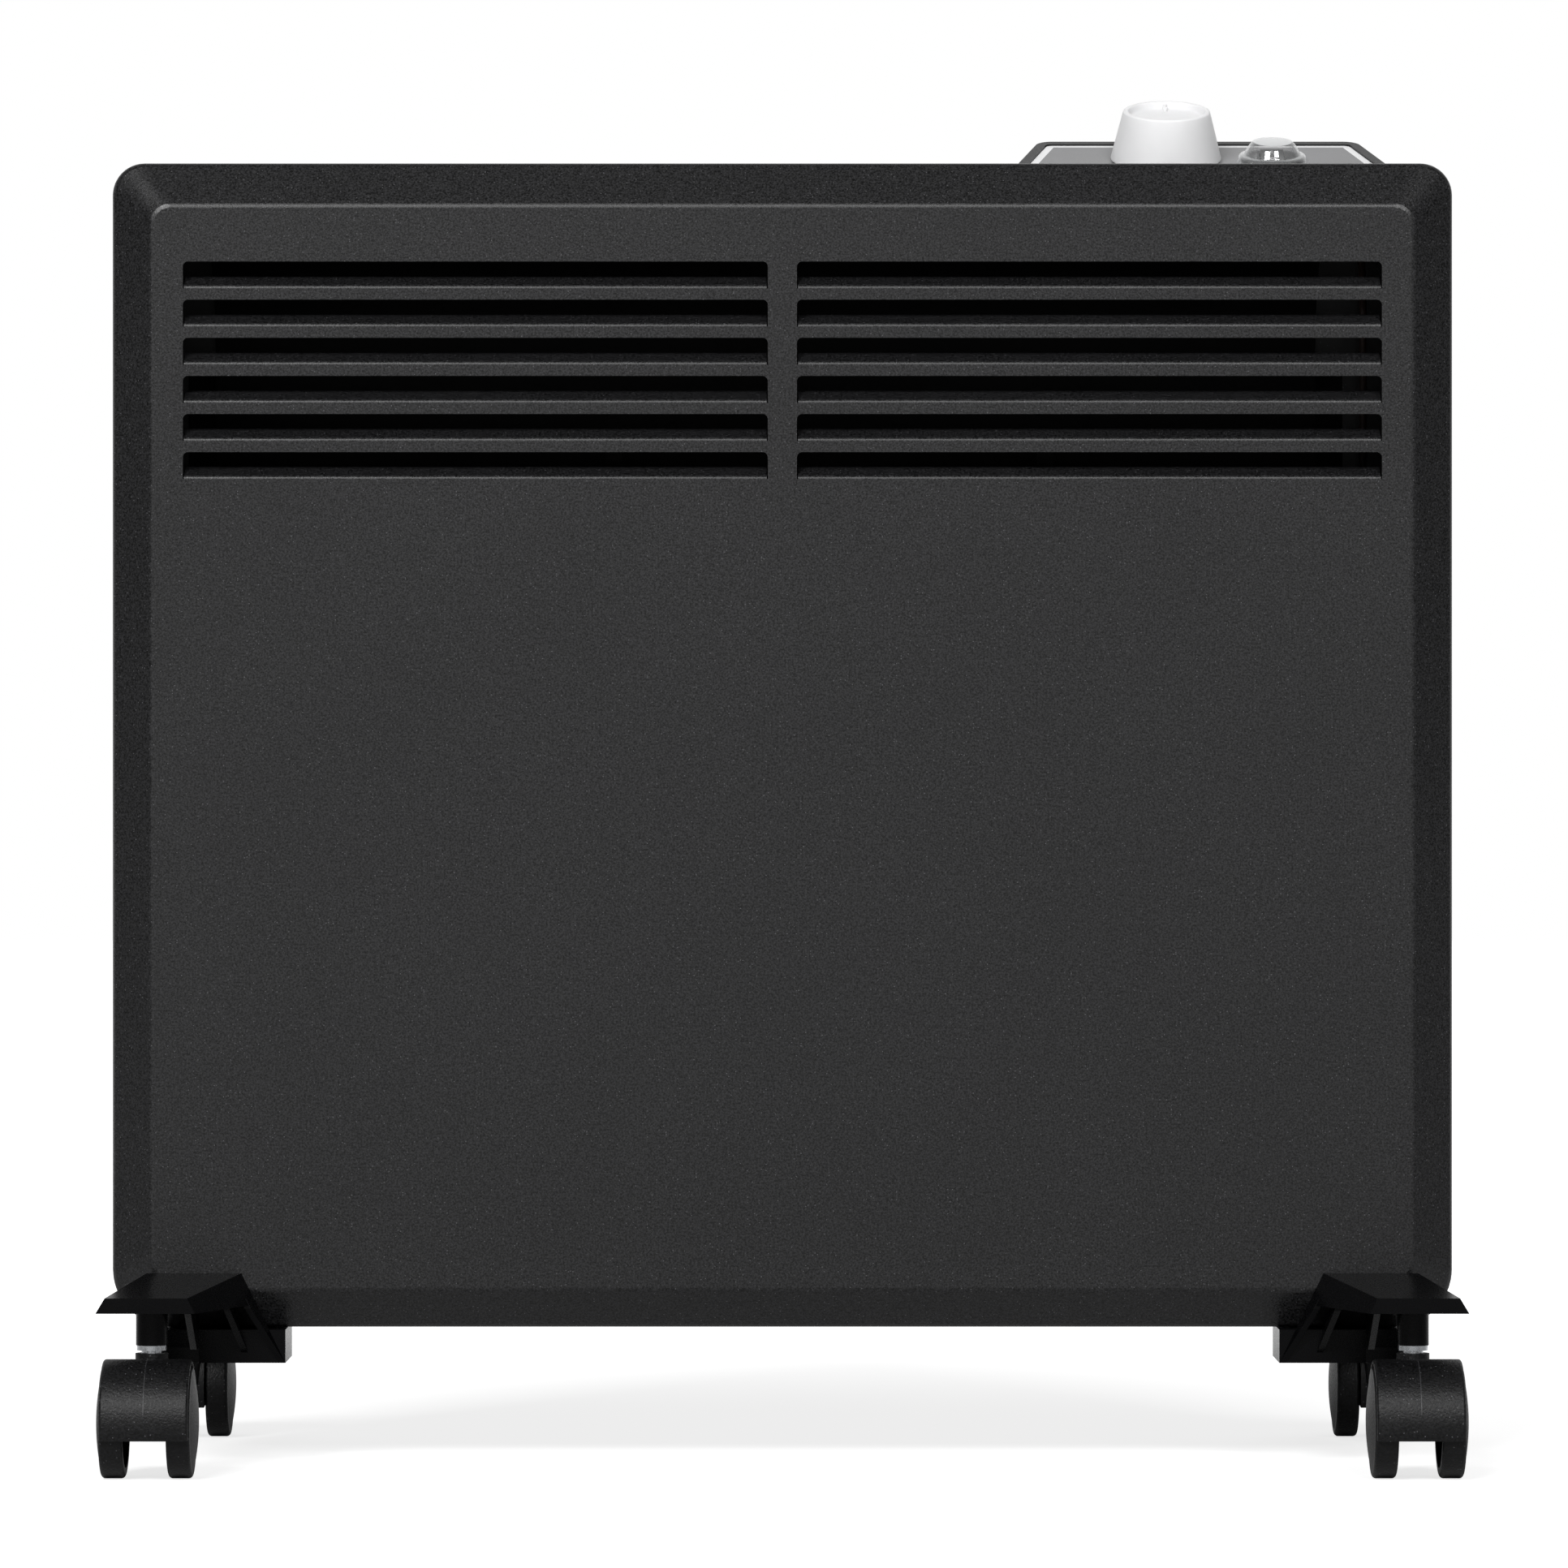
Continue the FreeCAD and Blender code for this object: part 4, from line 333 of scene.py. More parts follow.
# Casters: nylon with a soft bright sheen over the rounded hoods, a mould grain drawn coarser than the
# real 0.4 mm so that it shows, and pale points painted in as glints.
MOULDED_NYLON = PebbledSkin("moulded_black_nylon", "0f0f10", "0b0b0c", 0.46, grain=0.8, relief=0.17,
                            specular=0.26, painted_glint_pitch=0.9, painted_glint_share=0.1, mottle=0.7)
# Parting line on the hoods: the trimmed edge of the moulding, a little paler than its skin, and paler still
# as a painted highlight along the raised line.
TRIMMED_NYLON_AND_PAINTED_HIGHLIGHT = Finish("trimmed_black_nylon_and_painted_highlight", "2e2e30", "18181a", 0.5, grain=1.0, relief=0.03, cloud=2.0)
# Rocker: polished black, seen through the boot.
POLISHED_NYLON = Finish("polished_black_nylon", "151516", "101011", 0.2, grain=0.8, relief=0.004)
# Knob: white satin plastic that shows its shape by soft shading.
WHITE_ABS = MilkyPlastic("moulded_white_abs", "ebebec", "e7e7e8", 0.38, grain=0.6, relief=0.006, cloud=20.0)
# Plate: pale moulding whose rim shows round the grey label.
PALE_PLATE = Finish("moulded_pale_grey_abs", "f0f0f1", "ebebec", 0.4, grain=0.5, relief=0.005)
# Label: matt grey film with an even print.
GREY_FILM = Finish("screen_printed_grey_polyester_film", "8a8a8c", "878788", 0.5, grain=0.4, relief=0.004)
# Ink: dull dark print on the film.
DARK_INK = Finish("dark_screen_ink", "2c2c2e", "262628", 0.6, grain=0.3, relief=0.002, cloud=4.0)
# Filled marks: white paint in the moulded marks of the rocker.
WHITE_FILL = Finish("white_filling_paint", "f2f2f2", "e8e8e8", 0.5, grain=0.2, relief=0.004, cloud=2.0)
# Boot: clear grey walls with bright edges and sharp lamp reflections.
CLEAR_BOOT = ClearVinyl("clear_moulded_vinyl", "c4c6c7", "bec0c1", 0.06, grain=1.0, relief=0.0, ior=1.03,
                        spread=0.02)
# Boot's top: the thicker press face, milkier and paler than the walls, and paler still as a painted
# reflection of the white backdrop.
MILKY_BOOT_AND_PAINTED_REFLECTION = ClearVinyl("milky_vinyl_and_painted_reflection", "dcdedf", "d6d8d9", 0.12, grain=1.0, relief=0.0, ior=1.03,
                        spread=0.02, clear=0.3)
# Screws, axles and stems: pale bluish zinc, bright along the edges.
ZINC = Finish("bright_zinc_plated_steel", "d4d6d9", "bfc2c6", 0.28, grain=0.6, relief=0.006, metallic=1.0,
              cloud=6.0)
# Element: extruded fins with lines along their length.
EXTRUDED = DrawnMetal("extruded_aluminium", "c9c9c8", "bababa", 0.36, grain=0.5, relief=0.01, metallic=1.0,
                      lines=(0.05, 1.0, 1.0))
# Insulators: dry, chalky ceramic.
STEATITE = Finish("unglazed_steatite", "e6dfcf", "dad2c0", 0.75, grain=0.4, relief=0.02, cloud=5.0)
# Cut-out and thermostat bodies: dark brown with a mottled skin.
PHENOLIC = Finish("moulded_brown_phenolic", "3a281e", "2c1e17", 0.45, grain=0.7, relief=0.01, cloud=3.0)
# Tip switch and terminal block: slightly creamy white.
WHITE_NYLON = Finish("moulded_white_nylon", "e9e7df", "dfddd4", 0.45, grain=0.5, relief=0.008, cloud=10.0)
# Pendulum and earth screw: warm yellow metal with turning lines.
BRASS = DrawnMetal("turned_brass", "c9a65a", "b8944a", 0.3, grain=0.5, relief=0.006, metallic=1.0)
# Leads: soft silicone skins in the usual lead colours.
BROWN_SILICONE = Finish("brown_silicone_rubber", "2e1d15", "281912", 0.6, grain=0.4, relief=0.008)
BLUE_SILICONE = Finish("blue_silicone_rubber", "2f59a8", "284d95", 0.6, grain=0.4, relief=0.008)
GREEN_SILICONE = Finish("green_silicone_rubber", "6f9a3a", "5f8a30", 0.6, grain=0.4, relief=0.008)


def rounded_path(corners: Sequence[Corner2D], steps: int = 8) -> list[Point2D]:
    """Round the corners of an open path.

    Args:
        corners: Points (across, up, corner radius) in mm. The two ends are kept sharp.
        steps: Points along each arc, less one.

    Returns:
        The points of the path in mm.
    """
    points = [(corners[0][0], corners[0][1])]
    for before, here, after in zip(corners, corners[1:], corners[2:]):
        corner = Vector(here[:2])
        back = (Vector(before[:2]) - corner).normalized()
        onward = (Vector(after[:2]) - corner).normalized()
        half = back.angle(onward) / 2.0
        radius = here[2]
        if radius <= 0.0 or half > STRAIGHT:
            points.append((corner.x, corner.y))
            continue
        reach = radius / math.tan(half)
        centre = corner + (back + onward).normalized() * (radius / math.sin(half))
        start = corner + back * reach - centre
        turn = start.angle_signed(corner + onward * reach - centre)
        for step in range(steps + 1):
            spoke = Matrix.Rotation(-turn * step / steps, 2) @ start
            points.append((centre.x + spoke.x, centre.y + spoke.y))
    points.append((corners[-1][0], corners[-1][1]))
    return points


def lathe(profile: Sequence[Point2D], sides: int = 128) -> bmesh.types.BMesh:
    """Turn a profile that starts and ends on the axis.

    Args:
        profile: Points (radius, height) in mm.
        sides: Faces round the axis.

    Returns:
        A closed mesh in metres, with its axis along Z.
    """
    mesh = bmesh.new()
    rings = []
    for radius, height in profile:
        if radius < ON_AXIS:
            rings.append([mesh.verts.new((0.0, 0.0, height * MM))])
            continue
        ring = []
        for side in range(sides):
            angle = 2.0 * math.pi * side / sides
            ring.append(mesh.verts.new((radius * MM * math.cos(angle), radius * MM * math.sin(angle),
                                        height * MM)))
        rings.append(ring)
    for low, high in zip(rings, rings[1:]):
        for side in range(sides):
            after = (side + 1) % sides
            face = [low[side % len(low)], low[after % len(low)],
                    high[after % len(high)], high[side % len(high)]]
            mesh.faces.new(list(dict.fromkeys(face)))
    bmesh.ops.recalc_face_normals(mesh, faces=mesh.faces)
    return mesh


def raise_outline(outline: Sequence[Point2D], low: float, high: float) -> bmesh.types.BMesh:
    """Raise a flat outline into a thin closed body.

    Args:
        outline: Points in mm, in order round the shape.
        low: Height of the underside in mm.
        high: Height of the top in mm.

    Returns:
        The closed mesh in metres.
    """
    mesh = bmesh.new()
    under = [mesh.verts.new((x * MM, y * MM, low * MM)) for x, y in outline]
    over = [mesh.verts.new((x * MM, y * MM, high * MM)) for x, y in outline]
    mesh.faces.new(list(reversed(under)))
    mesh.faces.new(over)
    for index in range(len(outline)):
        after = (index + 1) % len(outline)
        mesh.faces.new((under[index], under[after], over[after], over[index]))
    bmesh.ops.recalc_face_normals(mesh, faces=mesh.faces)
    return mesh


def ring_band(inner: float, outer: float, low: float, high: float, sides: int = 32) -> bmesh.types.BMesh:
    """Make a flat ring.

    Args:
        inner: Inside radius in mm.
        outer: Outside radius in mm.
        low: Height of the underside in mm.
        high: Height of the top in mm.
        sides: Faces round the ring.

    Returns:
        The closed mesh in metres.
    """
    mesh = bmesh.new()
    loops = []
    for radius, height in ((inner, low), (outer, low), (outer, high), (inner, high)):
        angles = [2.0 * math.pi * side / sides for side in range(sides)]
        loops.append([mesh.verts.new((radius * MM * math.cos(a), radius * MM * math.sin(a), height * MM))
                      for a in angles])
    for here, after in zip(loops, loops[1:] + loops[:1]):
        for side in range(sides):
            beside = (side + 1) % sides
            mesh.faces.new((here[side], here[beside], after[beside], after[side]))
    bmesh.ops.recalc_face_normals(mesh, faces=mesh.faces)
    return mesh


def join_meshes(parts: Iterable[tuple[bmesh.types.BMesh, Matrix]]) -> bmesh.types.BMesh:
    """Put several placed meshes into one."""
    whole = bmesh.new()
    for mesh, matrix in parts:
        moved = {vertex: whole.verts.new(matrix @ vertex.co) for vertex in mesh.verts}
        for face in mesh.faces:
            whole.faces.new([moved[vertex] for vertex in face.verts])
        mesh.free()
    return whole


def hull(points: Iterable[Point2D]) -> list[Point2D]:
    """Return the convex outline of flat points, anticlockwise."""
    ordered = sorted(set(points))
    sides: list[list[Point2D]] = []
    for run in (ordered, list(reversed(ordered))):
        side: list[Point2D] = []
        for point in run:
            while len(side) > 1 and ((side[-1][0] - side[-2][0]) * (point[1] - side[-2][1])
                                     - (side[-1][1] - side[-2][1]) * (point[0] - side[-2][0])) <= FLAT_TURN:
                side.pop()
            side.append(point)
        sides.append(side[:-1])
    return sides[0] + sides[1]


def inset(outline: Sequence[Point2D], margin: float) -> list[Point2D]:
    """Move every side of a convex outline inwards.

    Args:
        outline: Points in mm, anticlockwise.
        margin: Distance in mm.

    Returns:
        The smaller outline.
    """
    kept = [Vector(point) for point in outline]
    for start, end in zip(outline, list(outline[1:]) + [outline[0]]):
        way = (Vector(end) - Vector(start)).normalized()
        inward = Vector((-way.y, way.x))
        foot = Vector(start) + inward * margin
        clipped = []
        for here, after in zip(kept, kept[1:] + [kept[0]]):
            depth, depth_after = (here - foot).dot(inward), (after - foot).dot(inward)
            if depth >= 0.0:
                clipped.append(here)
            if depth * depth_after < 0.0:
                clipped.append(here.lerp(after, depth / (depth - depth_after)))
        kept = clipped
    return [(point.x, point.y) for point in kept]


def make_piece(name: str, mesh: bmesh.types.BMesh, finish: Finish, body: str, matrix: Matrix,
               smooth: bool = True) -> bpy.types.Object:
    """Turn a mesh into a dressed piece that moves with a body.

    Args:
        name: Name of the piece.
        mesh: Mesh in the piece's own place; it is used up.
        finish: Finish of the whole piece.
        body: Body that carries the piece.
        matrix: Place of the piece in the heater at rest.
        smooth: Whether the faces are shaded as one surface.

    Returns:
        The new object.
    """
    mesh.transform(matrix)
    data = bpy.data.meshes.new(name)
    mesh.to_mesh(data)
    mesh.free()
    data.polygons.foreach_set("use_smooth", [smooth] * len(data.polygons))
    if smooth:
        data.set_sharp_from_angle(angle=SHARP_EDGE)
    data.materials.append(finish.material())
    piece = bpy.data.objects.new(name, data)
    bpy.context.scene.collection.objects.link(piece)
    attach(piece, body)
    LOG.info("%s: %d faces", name, len(data.polygons))
    return piece


def node(name: str) -> bpy.types.Object:
    """Return the solid of the assembly with this name."""
    return bpy.data.objects[name]


def dress(name: str, finish: Finish, edge: float = 0.0) -> None:
    """Give a solid its finish and, where asked, softly broken edges.

    Args:
        name: Name of the solid.
        finish: Its finish.
        edge: Width of the broken edges in mm; none at 0.
    """
    solid = node(name)
    solid.data.materials.clear()
    solid.data.materials.append(finish.material())
    if edge > 0.0:
        bevel = solid.modifiers.new("broken_edges", "BEVEL")
        bevel.width = edge * MM
        bevel.segments = BROKEN_EDGE_STEPS
        bevel.limit_method = "ANGLE"
        bevel.angle_limit = BROKEN_EDGE_ANGLE
        bevel.harden_normals = True
        bevel.use_clamp_overlap = True
    LOG.info("%s: %s", name, finish.name)


def joint(name: str) -> dict:
    """Return one joint of the assembly."""
    return next(entry for entry in frame["joints"] if entry["name"] == name)


@dataclass
class Casing:
    """Painted front panel and rear casing with their fasteners and the pieces inside."""

    plated: tuple[str, ...] = ("casing_screws", "rear_screws", "foot_screws", "control_screws",
                               "element_rod", "element_terminal_left", "element_terminal_right",
                               "element_bracket_left", "element_bracket_right")
    brown_leads: tuple[str, ...] = ("lead_live", "lead_switched", "lead_heater", "lead_element")

    def dress(self) -> None:
        """Give every solid of the casing its finish."""
        dress("front_panel", TEXTURED_POWDER)
        dress("rear_casing", SMOOTH_POWDER)
        dress("heat_shield", HEAT_PAINT)
        dress("element_fins", EXTRUDED)
        for name in self.plated:
            dress(name, ZINC)
        for hand in Hand:
            dress(f"element_insulator_{hand.value}", STEATITE)
        dress("thermal_cutout", PHENOLIC, SMALL_MOULDING_EDGE)
        dress("tip_switch_housing", WHITE_NYLON, SMALL_MOULDING_EDGE)
        dress("tip_switch_pendulum", BRASS)
        dress("terminal_block", WHITE_NYLON, SMALL_MOULDING_EDGE)
        dress("earth_screw", BRASS)
        dress("cable_gland", SATIN_ABS)
        for name in self.brown_leads:
            dress(name, BROWN_SILICONE)
        dress("lead_neutral", BLUE_SILICONE)
        dress("lead_earth", GREEN_SILICONE)


@dataclass
class ControlUnit:
    """Sloping control unit: labelled plate, thermostat knob, rocker switch and its clear boot."""

    border: float = 2.8
    film: float = 0.08
    knob_profile: tuple[Corner2D, ...] = ((0.0, 14.9, 0.0), (12.7, 15.1, 1.2), (13.5, 17.5, 0.5),
                                          (15.1, 17.5, 0.8), (19.5, 0.0, 0.6), (17.6, 0.0, 0.4),
                                          (13.9, 13.0, 0.5), (0.0, 13.0, 0.0))
    boot_profile: tuple[Corner2D, ...] = ((0.0, 7.2, 0.0), (7.0, 6.95, 0.5), (8.7, 5.0, 14.0),
                                          (9.9, 2.6, 0.3), (11.7, 2.2, 1.6), (12.5, 0.0, 0.0),
                                          (11.7, 0.0, 0.0), (11.1, 1.5, 0.8), (9.2, 1.8, 0.4),
                                          (8.05, 4.6, 12.0), (6.65, 6.25, 0.4), (0.0, 6.5, 0.0))
    cap_profile: tuple[Point2D, ...] = ((0.0, 7.26), (3.2, 7.15), (6.4, 7.03), (6.6, 6.97),
                                        (3.2, 7.11), (0.0, 7.22))
    face_band: float = 0.05
    knob_lift: float = 0.6
    tick_angles: tuple[float, ...] = (-135.0, -114.0, 114.0, 135.0)
    tick_radius: float = 21.2
    tick_size: tuple[float, float] = (0.5, 1.8)
    rib_reach: tuple[float, float] = (9.3, 13.6)
    rib_half: float = 0.65
    rib_corner: float = 0.4
    rib_heights: tuple[float, float] = (14.6, 16.6)
    mark_line: float = 0.6
    mark_reach: float = 2.4
    mark_centre: float = 3.0
    mark_sink: float = 0.1
    probe_height: float = 20.0
    placed: dict[str, Matrix] = field(default_factory=dict)

    def build(self) -> None:
        """Make the label, scale, knob, boot and rocker marks."""
        self.placed["knob"] = self.seat("knob_turn")
        self.placed["switch"] = self.seat("rocker_tilt")
        self.build_label()
        self.build_scale()
        self.build_knob()
        self.build_boot()
        self.build_marks()

    def seat(self, name: str) -> Matrix:
        """Return the place on the sloping plate at a joint: Z off the plate, Y up the slope."""
        up = Vector(joint("knob_turn")["axis"])
        across = Vector((1.0, 0.0, 0.0))
        turn = Matrix((across, up.cross(across), up)).transposed().to_4x4()
        return Matrix.Translation(Vector(joint(name)["pos_m"])) @ turn

    def build_label(self) -> None:
        """Lay the grey film on the plate, inside its pale border."""
        seat = self.placed["knob"]
        inverse = seat.inverted()
        plate = node("control_plate")
        local = [inverse @ (plate.matrix_world @ vertex.co) for vertex in plate.data.vertices]
        top = max(point.z for point in local)
        edge = hull((round(point.x / MM, 3), round(point.y / MM, 3)) for point in local
                    if point.z > top - self.face_band * MM)
        mesh = raise_outline(inset(edge, self.border), top / MM, top / MM + self.film)
        make_piece("control_label", mesh, GREY_FILM, "casing", seat, smooth=False)

    def build_scale(self) -> None:
        """Print the marks at the two ends of the thermostat scale."""
        parts = []
        width, length = self.tick_size
        for degrees in self.tick_angles:
            outline = ((-width / 2, 0.0), (width / 2, 0.0), (width / 2, length), (-width / 2, length))
            mesh = raise_outline(outline, self.film / 2, self.film * 1.5)
            turn = Matrix.Rotation(math.radians(-degrees), 4, "Z")
            parts.append((mesh, turn @ Matrix.Translation((0.0, self.tick_radius * MM, 0.0))))
        piece = make_piece("dial_scale", join_meshes(parts), DARK_INK, "casing", self.placed["knob"],
                           smooth=False)

    def build_knob(self) -> None:
        """Turn the knob with its dished top, thin rim and pointer rib."""
        seat = self.placed["knob"] @ Matrix.Translation((0.0, 0.0, self.knob_lift * MM))
        knob = make_piece("thermostat_knob_shell", lathe(rounded_path(self.knob_profile)), WHITE_ABS,
                          "knob", seat)
        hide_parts("thermostat_knob")
        start, end = self.rib_reach
        half, corner = self.rib_half, self.rib_corner
        outline = rounded_path(((0.0, start, 0.0), (half, start, corner), (half, end, 0.0),
                                (-half, end, 0.0), (-half, start, corner), (0.0, start, 0.0)))[:-1]
        rib = make_piece("knob_pointer", raise_outline(outline, *self.rib_heights), WHITE_ABS, "knob", seat)

    def build_boot(self) -> None:
        """Turn the clear boot over the rocker."""
        boot = make_piece("switch_boot_shell", lathe(rounded_path(self.boot_profile)), CLEAR_BOOT, "casing",
                          self.placed["switch"])
        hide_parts("switch_boot")
        # Pale face on the boot's top: milky vinyl whose paleness is partly a painted reflection of the
        # backdrop.
        cap = make_piece("switch_boot_face_and_painted_reflection", lathe(self.cap_profile), MILKY_BOOT_AND_PAINTED_REFLECTION, "casing",
                         self.placed["switch"])

    def build_marks(self) -> None:
        """Set the white on and off marks in the rocker's top."""
        seat = self.placed["switch"]
        half = self.mark_line / 2.0
        reach = self.mark_reach / 2.0
        bar = raise_outline(((-half, -reach), (half, -reach), (half, reach), (-half, reach)),
                            -self.mark_sink, self.film)
        ring = ring_band(reach - self.mark_line, reach, -self.mark_sink, self.film)
        parts = [(bar, Matrix.Translation((0.0, self.mark_centre * MM, 0.0))),
                 (ring, Matrix.Translation((0.0, -self.mark_centre * MM, 0.0)))]
        marks = join_meshes(parts)
        rocker = node("switch_rocker")
        inverse = rocker.matrix_world.inverted() @ seat
        down = (inverse.to_3x3() @ Vector((0.0, 0.0, -1.0))).normalized()
        for vertex in marks.verts:
            above = inverse @ Vector((vertex.co.x, vertex.co.y, self.probe_height * MM))
            hit, point, _, _ = rocker.ray_cast(above, down)
            if hit:
                vertex.co.z += (inverse.inverted() @ point).z
        make_piece("rocker_marks", marks, WHITE_FILL, "rocker", seat, smooth=False)

    def dress(self) -> None:
        """Give the solids of the control unit their finishes."""
        dress("control_housing", SATIN_ABS)
        dress("control_plate", PALE_PLATE)
        dress("thermostat_body", PHENOLIC, SMALL_MOULDING_EDGE)
        dress("thermostat_nut", ZINC)
        dress("thermostat_spindle", ZINC)
        dress("switch_body", SATIN_ABS)
        dress("switch_rocker", POLISHED_NYLON)


@dataclass
class Feet:
    """The two moulded feet."""

    edge: float = 0.5

    def dress(self) -> None:
        """Give the feet their finish and broken edges."""
        for hand in Hand:
            dress(f"foot_{hand.value}", MOULDED_ABS, self.edge)


@dataclass
class Caster:
    """One twin-wheel caster with its hood and pressed-in stem."""

    station: Station
    seam_width: float = 0.35
    seam_height: float = 0.06
    seam_root: float = 0.1
    seam_start: float = 10.0
    seam_end: float = 84.0
    seam_steps: int = 24

    def build(self) -> None:
        """Lay the raised parting line of the mould along the middle of the hood."""
        corner = self.station.value
        low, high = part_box(f"caster_hood_{corner}")
        axle = Vector(joint(f"roll_{corner}_{Hand.LEFT.value}")["pos_m"])
        edge = low.y if self.station.away < 0 else high.y
        radius = abs(edge - axle.y) / MM
        half = self.seam_width / 2.0
        root, crest = radius - self.seam_root, radius + self.seam_height
        outline = ((-half, root), (half, root), (half, radius), (0.0, crest), (-half, radius))
        sweep = self.seam_end - self.seam_start
        mesh = bmesh.new()
        sections = []
        for step in range(self.seam_steps + 1):
            angle = math.radians(self.seam_start + sweep * step / self.seam_steps)
            section = []
            for x, reach in outline:
                section.append(mesh.verts.new((x * MM, self.station.away * reach * MM * math.cos(angle),
                                               reach * MM * math.sin(angle))))
            sections.append(section)
        mesh.faces.new(sections[0])
        mesh.faces.new(sections[-1])
        for here, after in zip(sections, sections[1:]):
            for side in range(len(here)):
                beside = (side + 1) % len(here)
                mesh.faces.new((here[side], here[beside], after[beside], after[side]))
        bmesh.ops.recalc_face_normals(mesh, faces=mesh.faces)
        # The seam's pale finish is partly a painted highlight along the parting line.
        seam = make_piece(f"hood_seam_{corner}", mesh, TRIMMED_NYLON_AND_PAINTED_HIGHLIGHT, f"caster_{corner}",
                          Matrix.Translation(axle))

    def dress(self) -> None:
        """Give the solids of the caster their finishes."""
        corner = self.station.value
        dress(f"caster_stem_{corner}", ZINC)
        dress(f"caster_axle_{corner}", ZINC)
        dress(f"caster_hood_{corner}", MOULDED_NYLON)
        for hand in Hand:
            dress(f"caster_wheel_{corner}_{hand.value}", MOULDED_NYLON)


@dataclass(frozen=True)
class Softbox:
    """A soft lamp: degrees right of the camera's line and above the floor, size in metres, watts."""

    name: str
    across: float
    up: float
    size: tuple[float, float]
    power: float


@dataclass
class Studio:
    """White floor, soft lamps and the camera of the photograph."""

    eye: tuple[float, float, float] = (0.0, -2.813, 0.222)
    focal: float = 9940.0
    picture: float = 1932.0
    centre: tuple[float, float] = (964.0, 1010.0)
    sensor: float = 36.0
    far_clip: float = 100.0
    floor_half: float = 12.0
    floor_cells: int = 8
    floor_paint: str = "c4c4c4"
    glow_reach: tuple[float, float] = (0.2, 0.8)
    glow_level: tuple[float, float] = (0.72, 1.0)
    sweep_reach: tuple[float, float] = (0.15, 0.8)
    lamp_distance: float = 6.0
    lamps: tuple[Softbox, ...] = (Softbox("left_softbox", -22.0, 34.0, (1.9, 1.9), 245.0),
                                  Softbox("right_softbox", 17.0, 34.0, (1.7, 1.9), 140.0))
    room: tuple[tuple[float, float], ...] = ((0.0, 0.38), (0.07, 0.34), (0.16, 0.07), (0.6, 0.08),
                                             (0.9, 0.9))

    def build(self) -> None:
        """Set up camera, floor, lamps and surroundings."""
        self.build_camera()
        self.build_floor()
        for lamp in self.lamps:
            self.build_lamp(lamp)
        self.build_world()
        bpy.context.scene.view_settings.view_transform = "Standard"

    def build_camera(self) -> None:
        """Place the camera level, with the picture shifted as in the photograph."""
        data = bpy.data.cameras.new("photo_camera")
        data.sensor_width = self.sensor
        data.lens = self.sensor * self.focal / self.picture
        data.shift_x = (self.picture / 2 - self.centre[0]) / self.picture
        data.shift_y = (self.centre[1] - self.picture / 2) / self.picture
        data.clip_end = self.far_clip
        camera = bpy.data.objects.new("photo_camera", data)
        camera.location = self.eye
        camera.rotation_euler = (math.radians(90.0), 0.0, 0.0)
        bpy.context.scene.collection.objects.link(camera)
        bpy.context.scene.camera = camera

    def build_floor(self) -> None:
        """Lay the white floor, which takes the heater's shadow."""
        mesh = bmesh.new()
        bmesh.ops.create_grid(mesh, x_segments=self.floor_cells, y_segments=self.floor_cells,
                              size=self.floor_half)
        data = bpy.data.meshes.new("floor")
        mesh.to_mesh(data)
        mesh.free()
        material = bpy.data.materials.new("white_studio_floor")
        material.use_nodes = True
        tree = material.node_tree
        tree.nodes.clear()
        place = add_node(tree, "ShaderNodeTexCoord").outputs["Object"]
        away = add_node(tree, "ShaderNodeVectorMath", {0: place}, operation="LENGTH")
        white = add_node(tree, "ShaderNodeMapRange",
                         {"Value": away.outputs["Value"], "From Min": self.glow_reach[0],
                          "From Max": self.glow_reach[1], "To Min": self.glow_level[0],
                          "To Max": self.glow_level[1]}, interpolation_type="SMOOTHSTEP")
        shown = add_node(tree, "ShaderNodeMath", {0: self.seen(tree), 1: white.outputs["Result"]},
                         operation="MULTIPLY")
        behind = add_node(tree, "ShaderNodeSeparateXYZ", {"Vector": place}).outputs["Y"]
        sweep = add_node(tree, "ShaderNodeMapRange",
                         {"Value": behind, "From Min": self.sweep_reach[0],
                          "From Max": self.sweep_reach[1], "To Min": 0.0, "To Max": 1.0},
                         interpolation_type="SMOOTHSTEP")
        glossy = add_node(tree, "ShaderNodeLightPath").outputs["Is Glossy Ray"]
        mirrored = add_node(tree, "ShaderNodeMath", {0: glossy, 1: sweep.outputs["Result"]},
                            operation="MULTIPLY")
        bright = add_node(tree, "ShaderNodeMath", {0: shown.outputs[0], 1: mirrored.outputs[0]},
                          operation="ADD")
        paint = add_node(tree, "ShaderNodeBsdfDiffuse", {"Color": linear(self.floor_paint)})
        glow = add_node(tree, "ShaderNodeEmission",
                        {"Color": linear("ffffff"), "Strength": bright.outputs[0]})
        both = add_node(tree, "ShaderNodeAddShader", {0: paint.outputs[0], 1: glow.outputs[0]})
        add_node(tree, "ShaderNodeOutputMaterial", {"Surface": both.outputs[0]})
        data.materials.append(material)
        floor = bpy.data.objects.new("floor", data)
        bpy.context.scene.collection.objects.link(floor)

    def seen(self, tree: bpy.types.NodeTree) -> bpy.types.NodeSocket:
        """Return 1 for rays that show the background: from the camera or through a clear piece."""
        path = add_node(tree, "ShaderNodeLightPath")
        both = add_node(tree, "ShaderNodeMath",
                        {0: path.outputs["Is Camera Ray"], 1: path.outputs["Is Transmission Ray"]},
                        operation="MAXIMUM")
        return both.outputs[0]

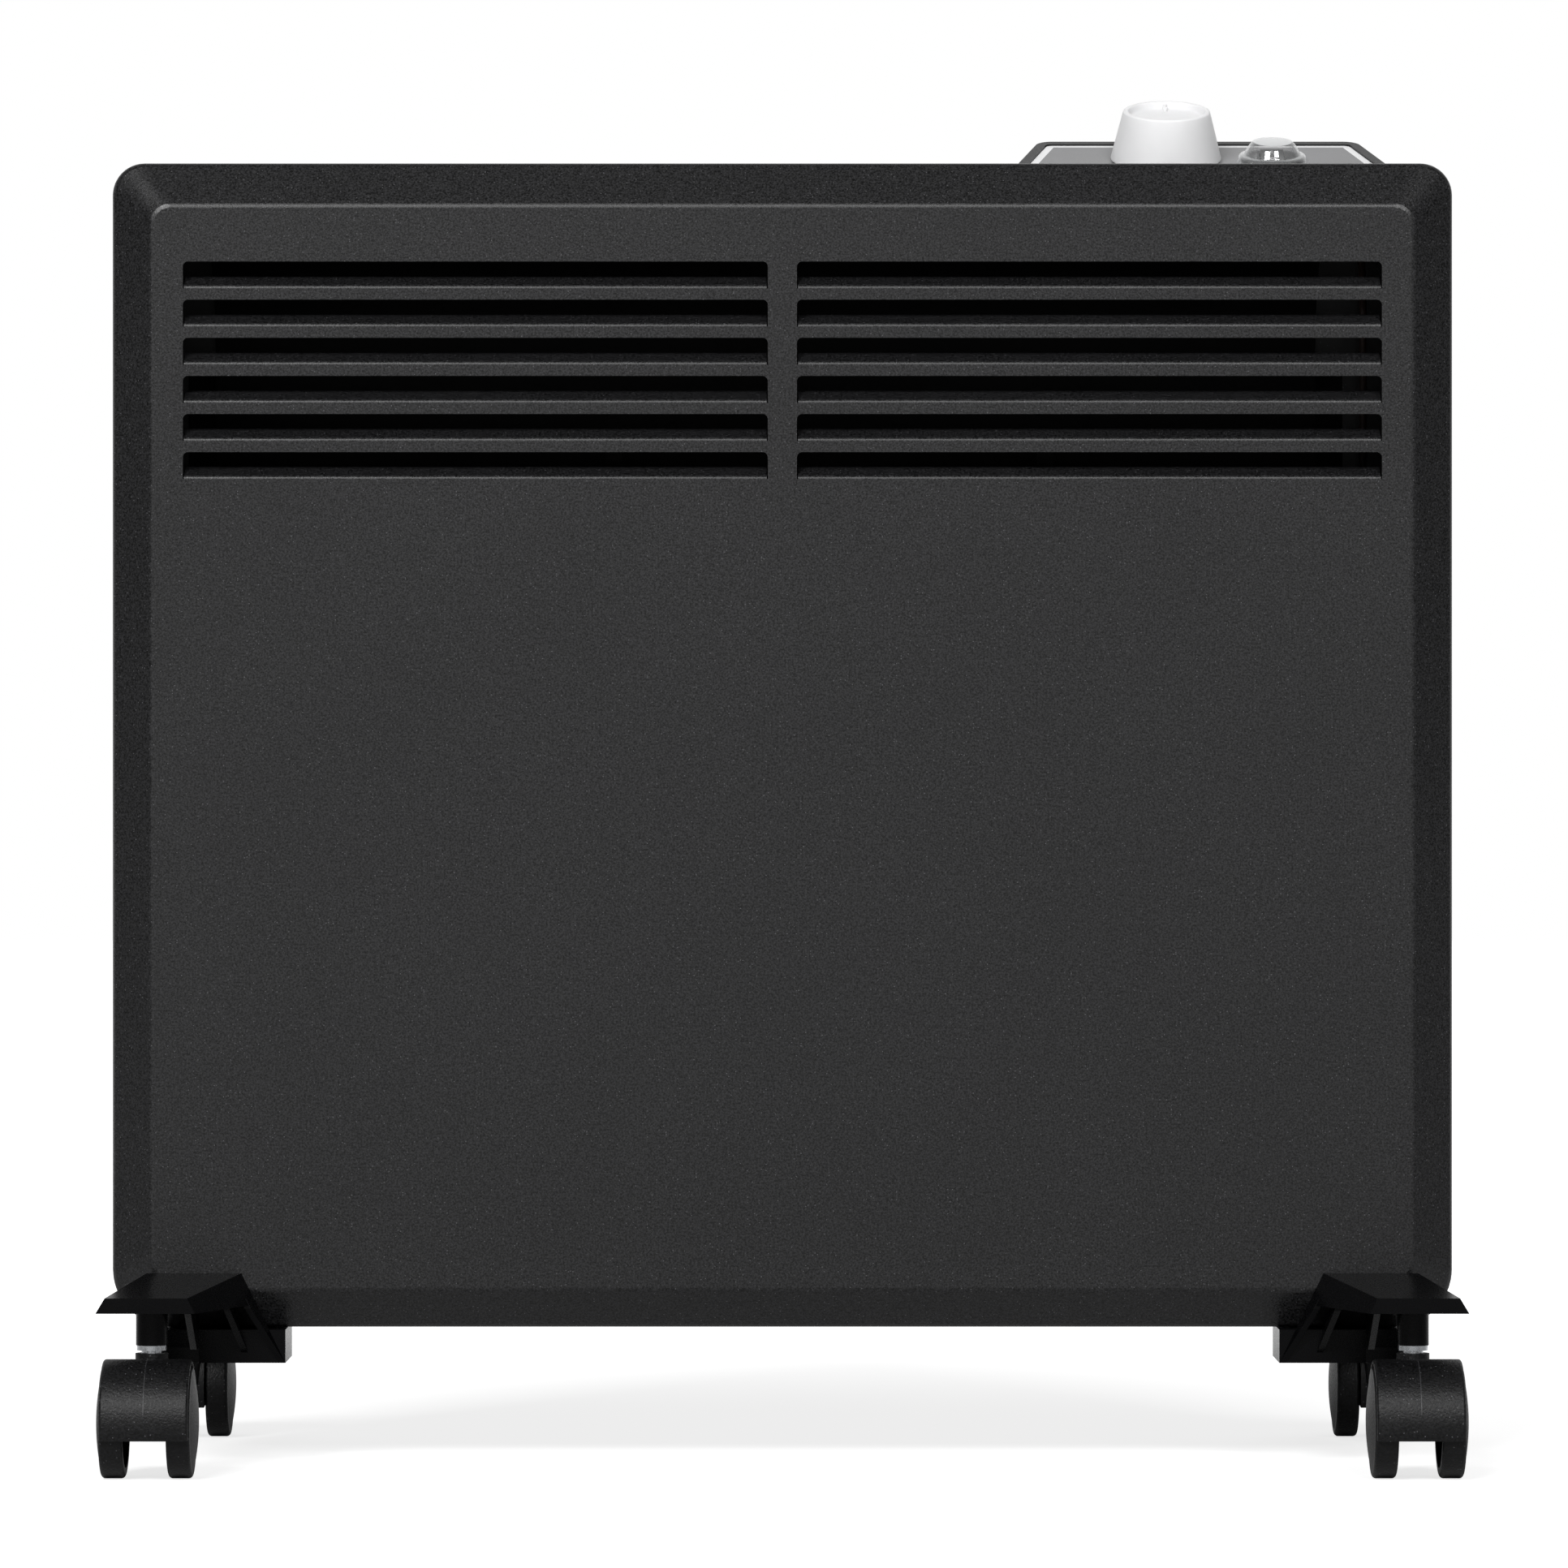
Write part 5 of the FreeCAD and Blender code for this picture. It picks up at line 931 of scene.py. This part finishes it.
    def build_lamp(self, softbox: Softbox) -> None:
        """Hang one soft lamp that faces the heater."""
        data = bpy.data.lights.new(softbox.name, "AREA")
        data.shape = "RECTANGLE"
        data.size, data.size_y = softbox.size
        data.energy = softbox.power
        lamp = bpy.data.objects.new(softbox.name, data)
        flat, rise = math.radians(softbox.across), math.radians(softbox.up)
        way = Vector((math.cos(rise) * math.sin(flat), -math.cos(rise) * math.cos(flat), math.sin(rise)))
        lamp.location = Vector((0.0, 0.0, self.eye[2])) + way * self.lamp_distance
        lamp.rotation_euler = (-way).to_track_quat("-Z", "Y").to_euler()
        bpy.context.scene.collection.objects.link(lamp)

    def build_world(self) -> None:
        """Light the dark room from the backdrop and, faintly, from behind the camera, and show it white."""
        world = bpy.data.worlds.new("studio")
        world.use_nodes = True
        tree = world.node_tree
        tree.nodes.clear()
        way = add_node(tree, "ShaderNodeTexCoord").outputs["Generated"]
        depth = add_node(tree, "ShaderNodeSeparateXYZ", {"Vector": way}).outputs["Y"]
        share = add_node(tree, "ShaderNodeMapRange", {"Value": depth, "From Min": -1.0, "From Max": 1.0})
        level = add_node(tree, "ShaderNodeValToRGB", {"Fac": share.outputs["Result"]})
        set_ramp(level, [(place, (grey, grey, grey, 1.0)) for place, grey in self.room])
        room = add_node(tree, "ShaderNodeBackground", {"Color": level.outputs["Color"], "Strength": 1.0})
        white = add_node(tree, "ShaderNodeBackground", {"Color": linear("ffffff"), "Strength": 1.0})
        both = add_node(tree, "ShaderNodeMixShader",
                        {0: self.seen(tree), 1: room.outputs[0], 2: white.outputs[0]})
        add_node(tree, "ShaderNodeOutputWorld", {"Surface": both.outputs[0]})
        bpy.context.scene.world = world


def main() -> None:
    """Build and dress the sub-assemblies in order, then the studio."""
    logging.basicConfig(level=logging.INFO, format="%(message)s")
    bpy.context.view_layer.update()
    Casing().dress()
    control = ControlUnit()
    control.build()
    control.dress()
    Feet().dress()
    for station in Station:
        caster = Caster(station)
        caster.build()
        caster.dress()
    Studio().build()


if __name__ == "__main__":
    main()
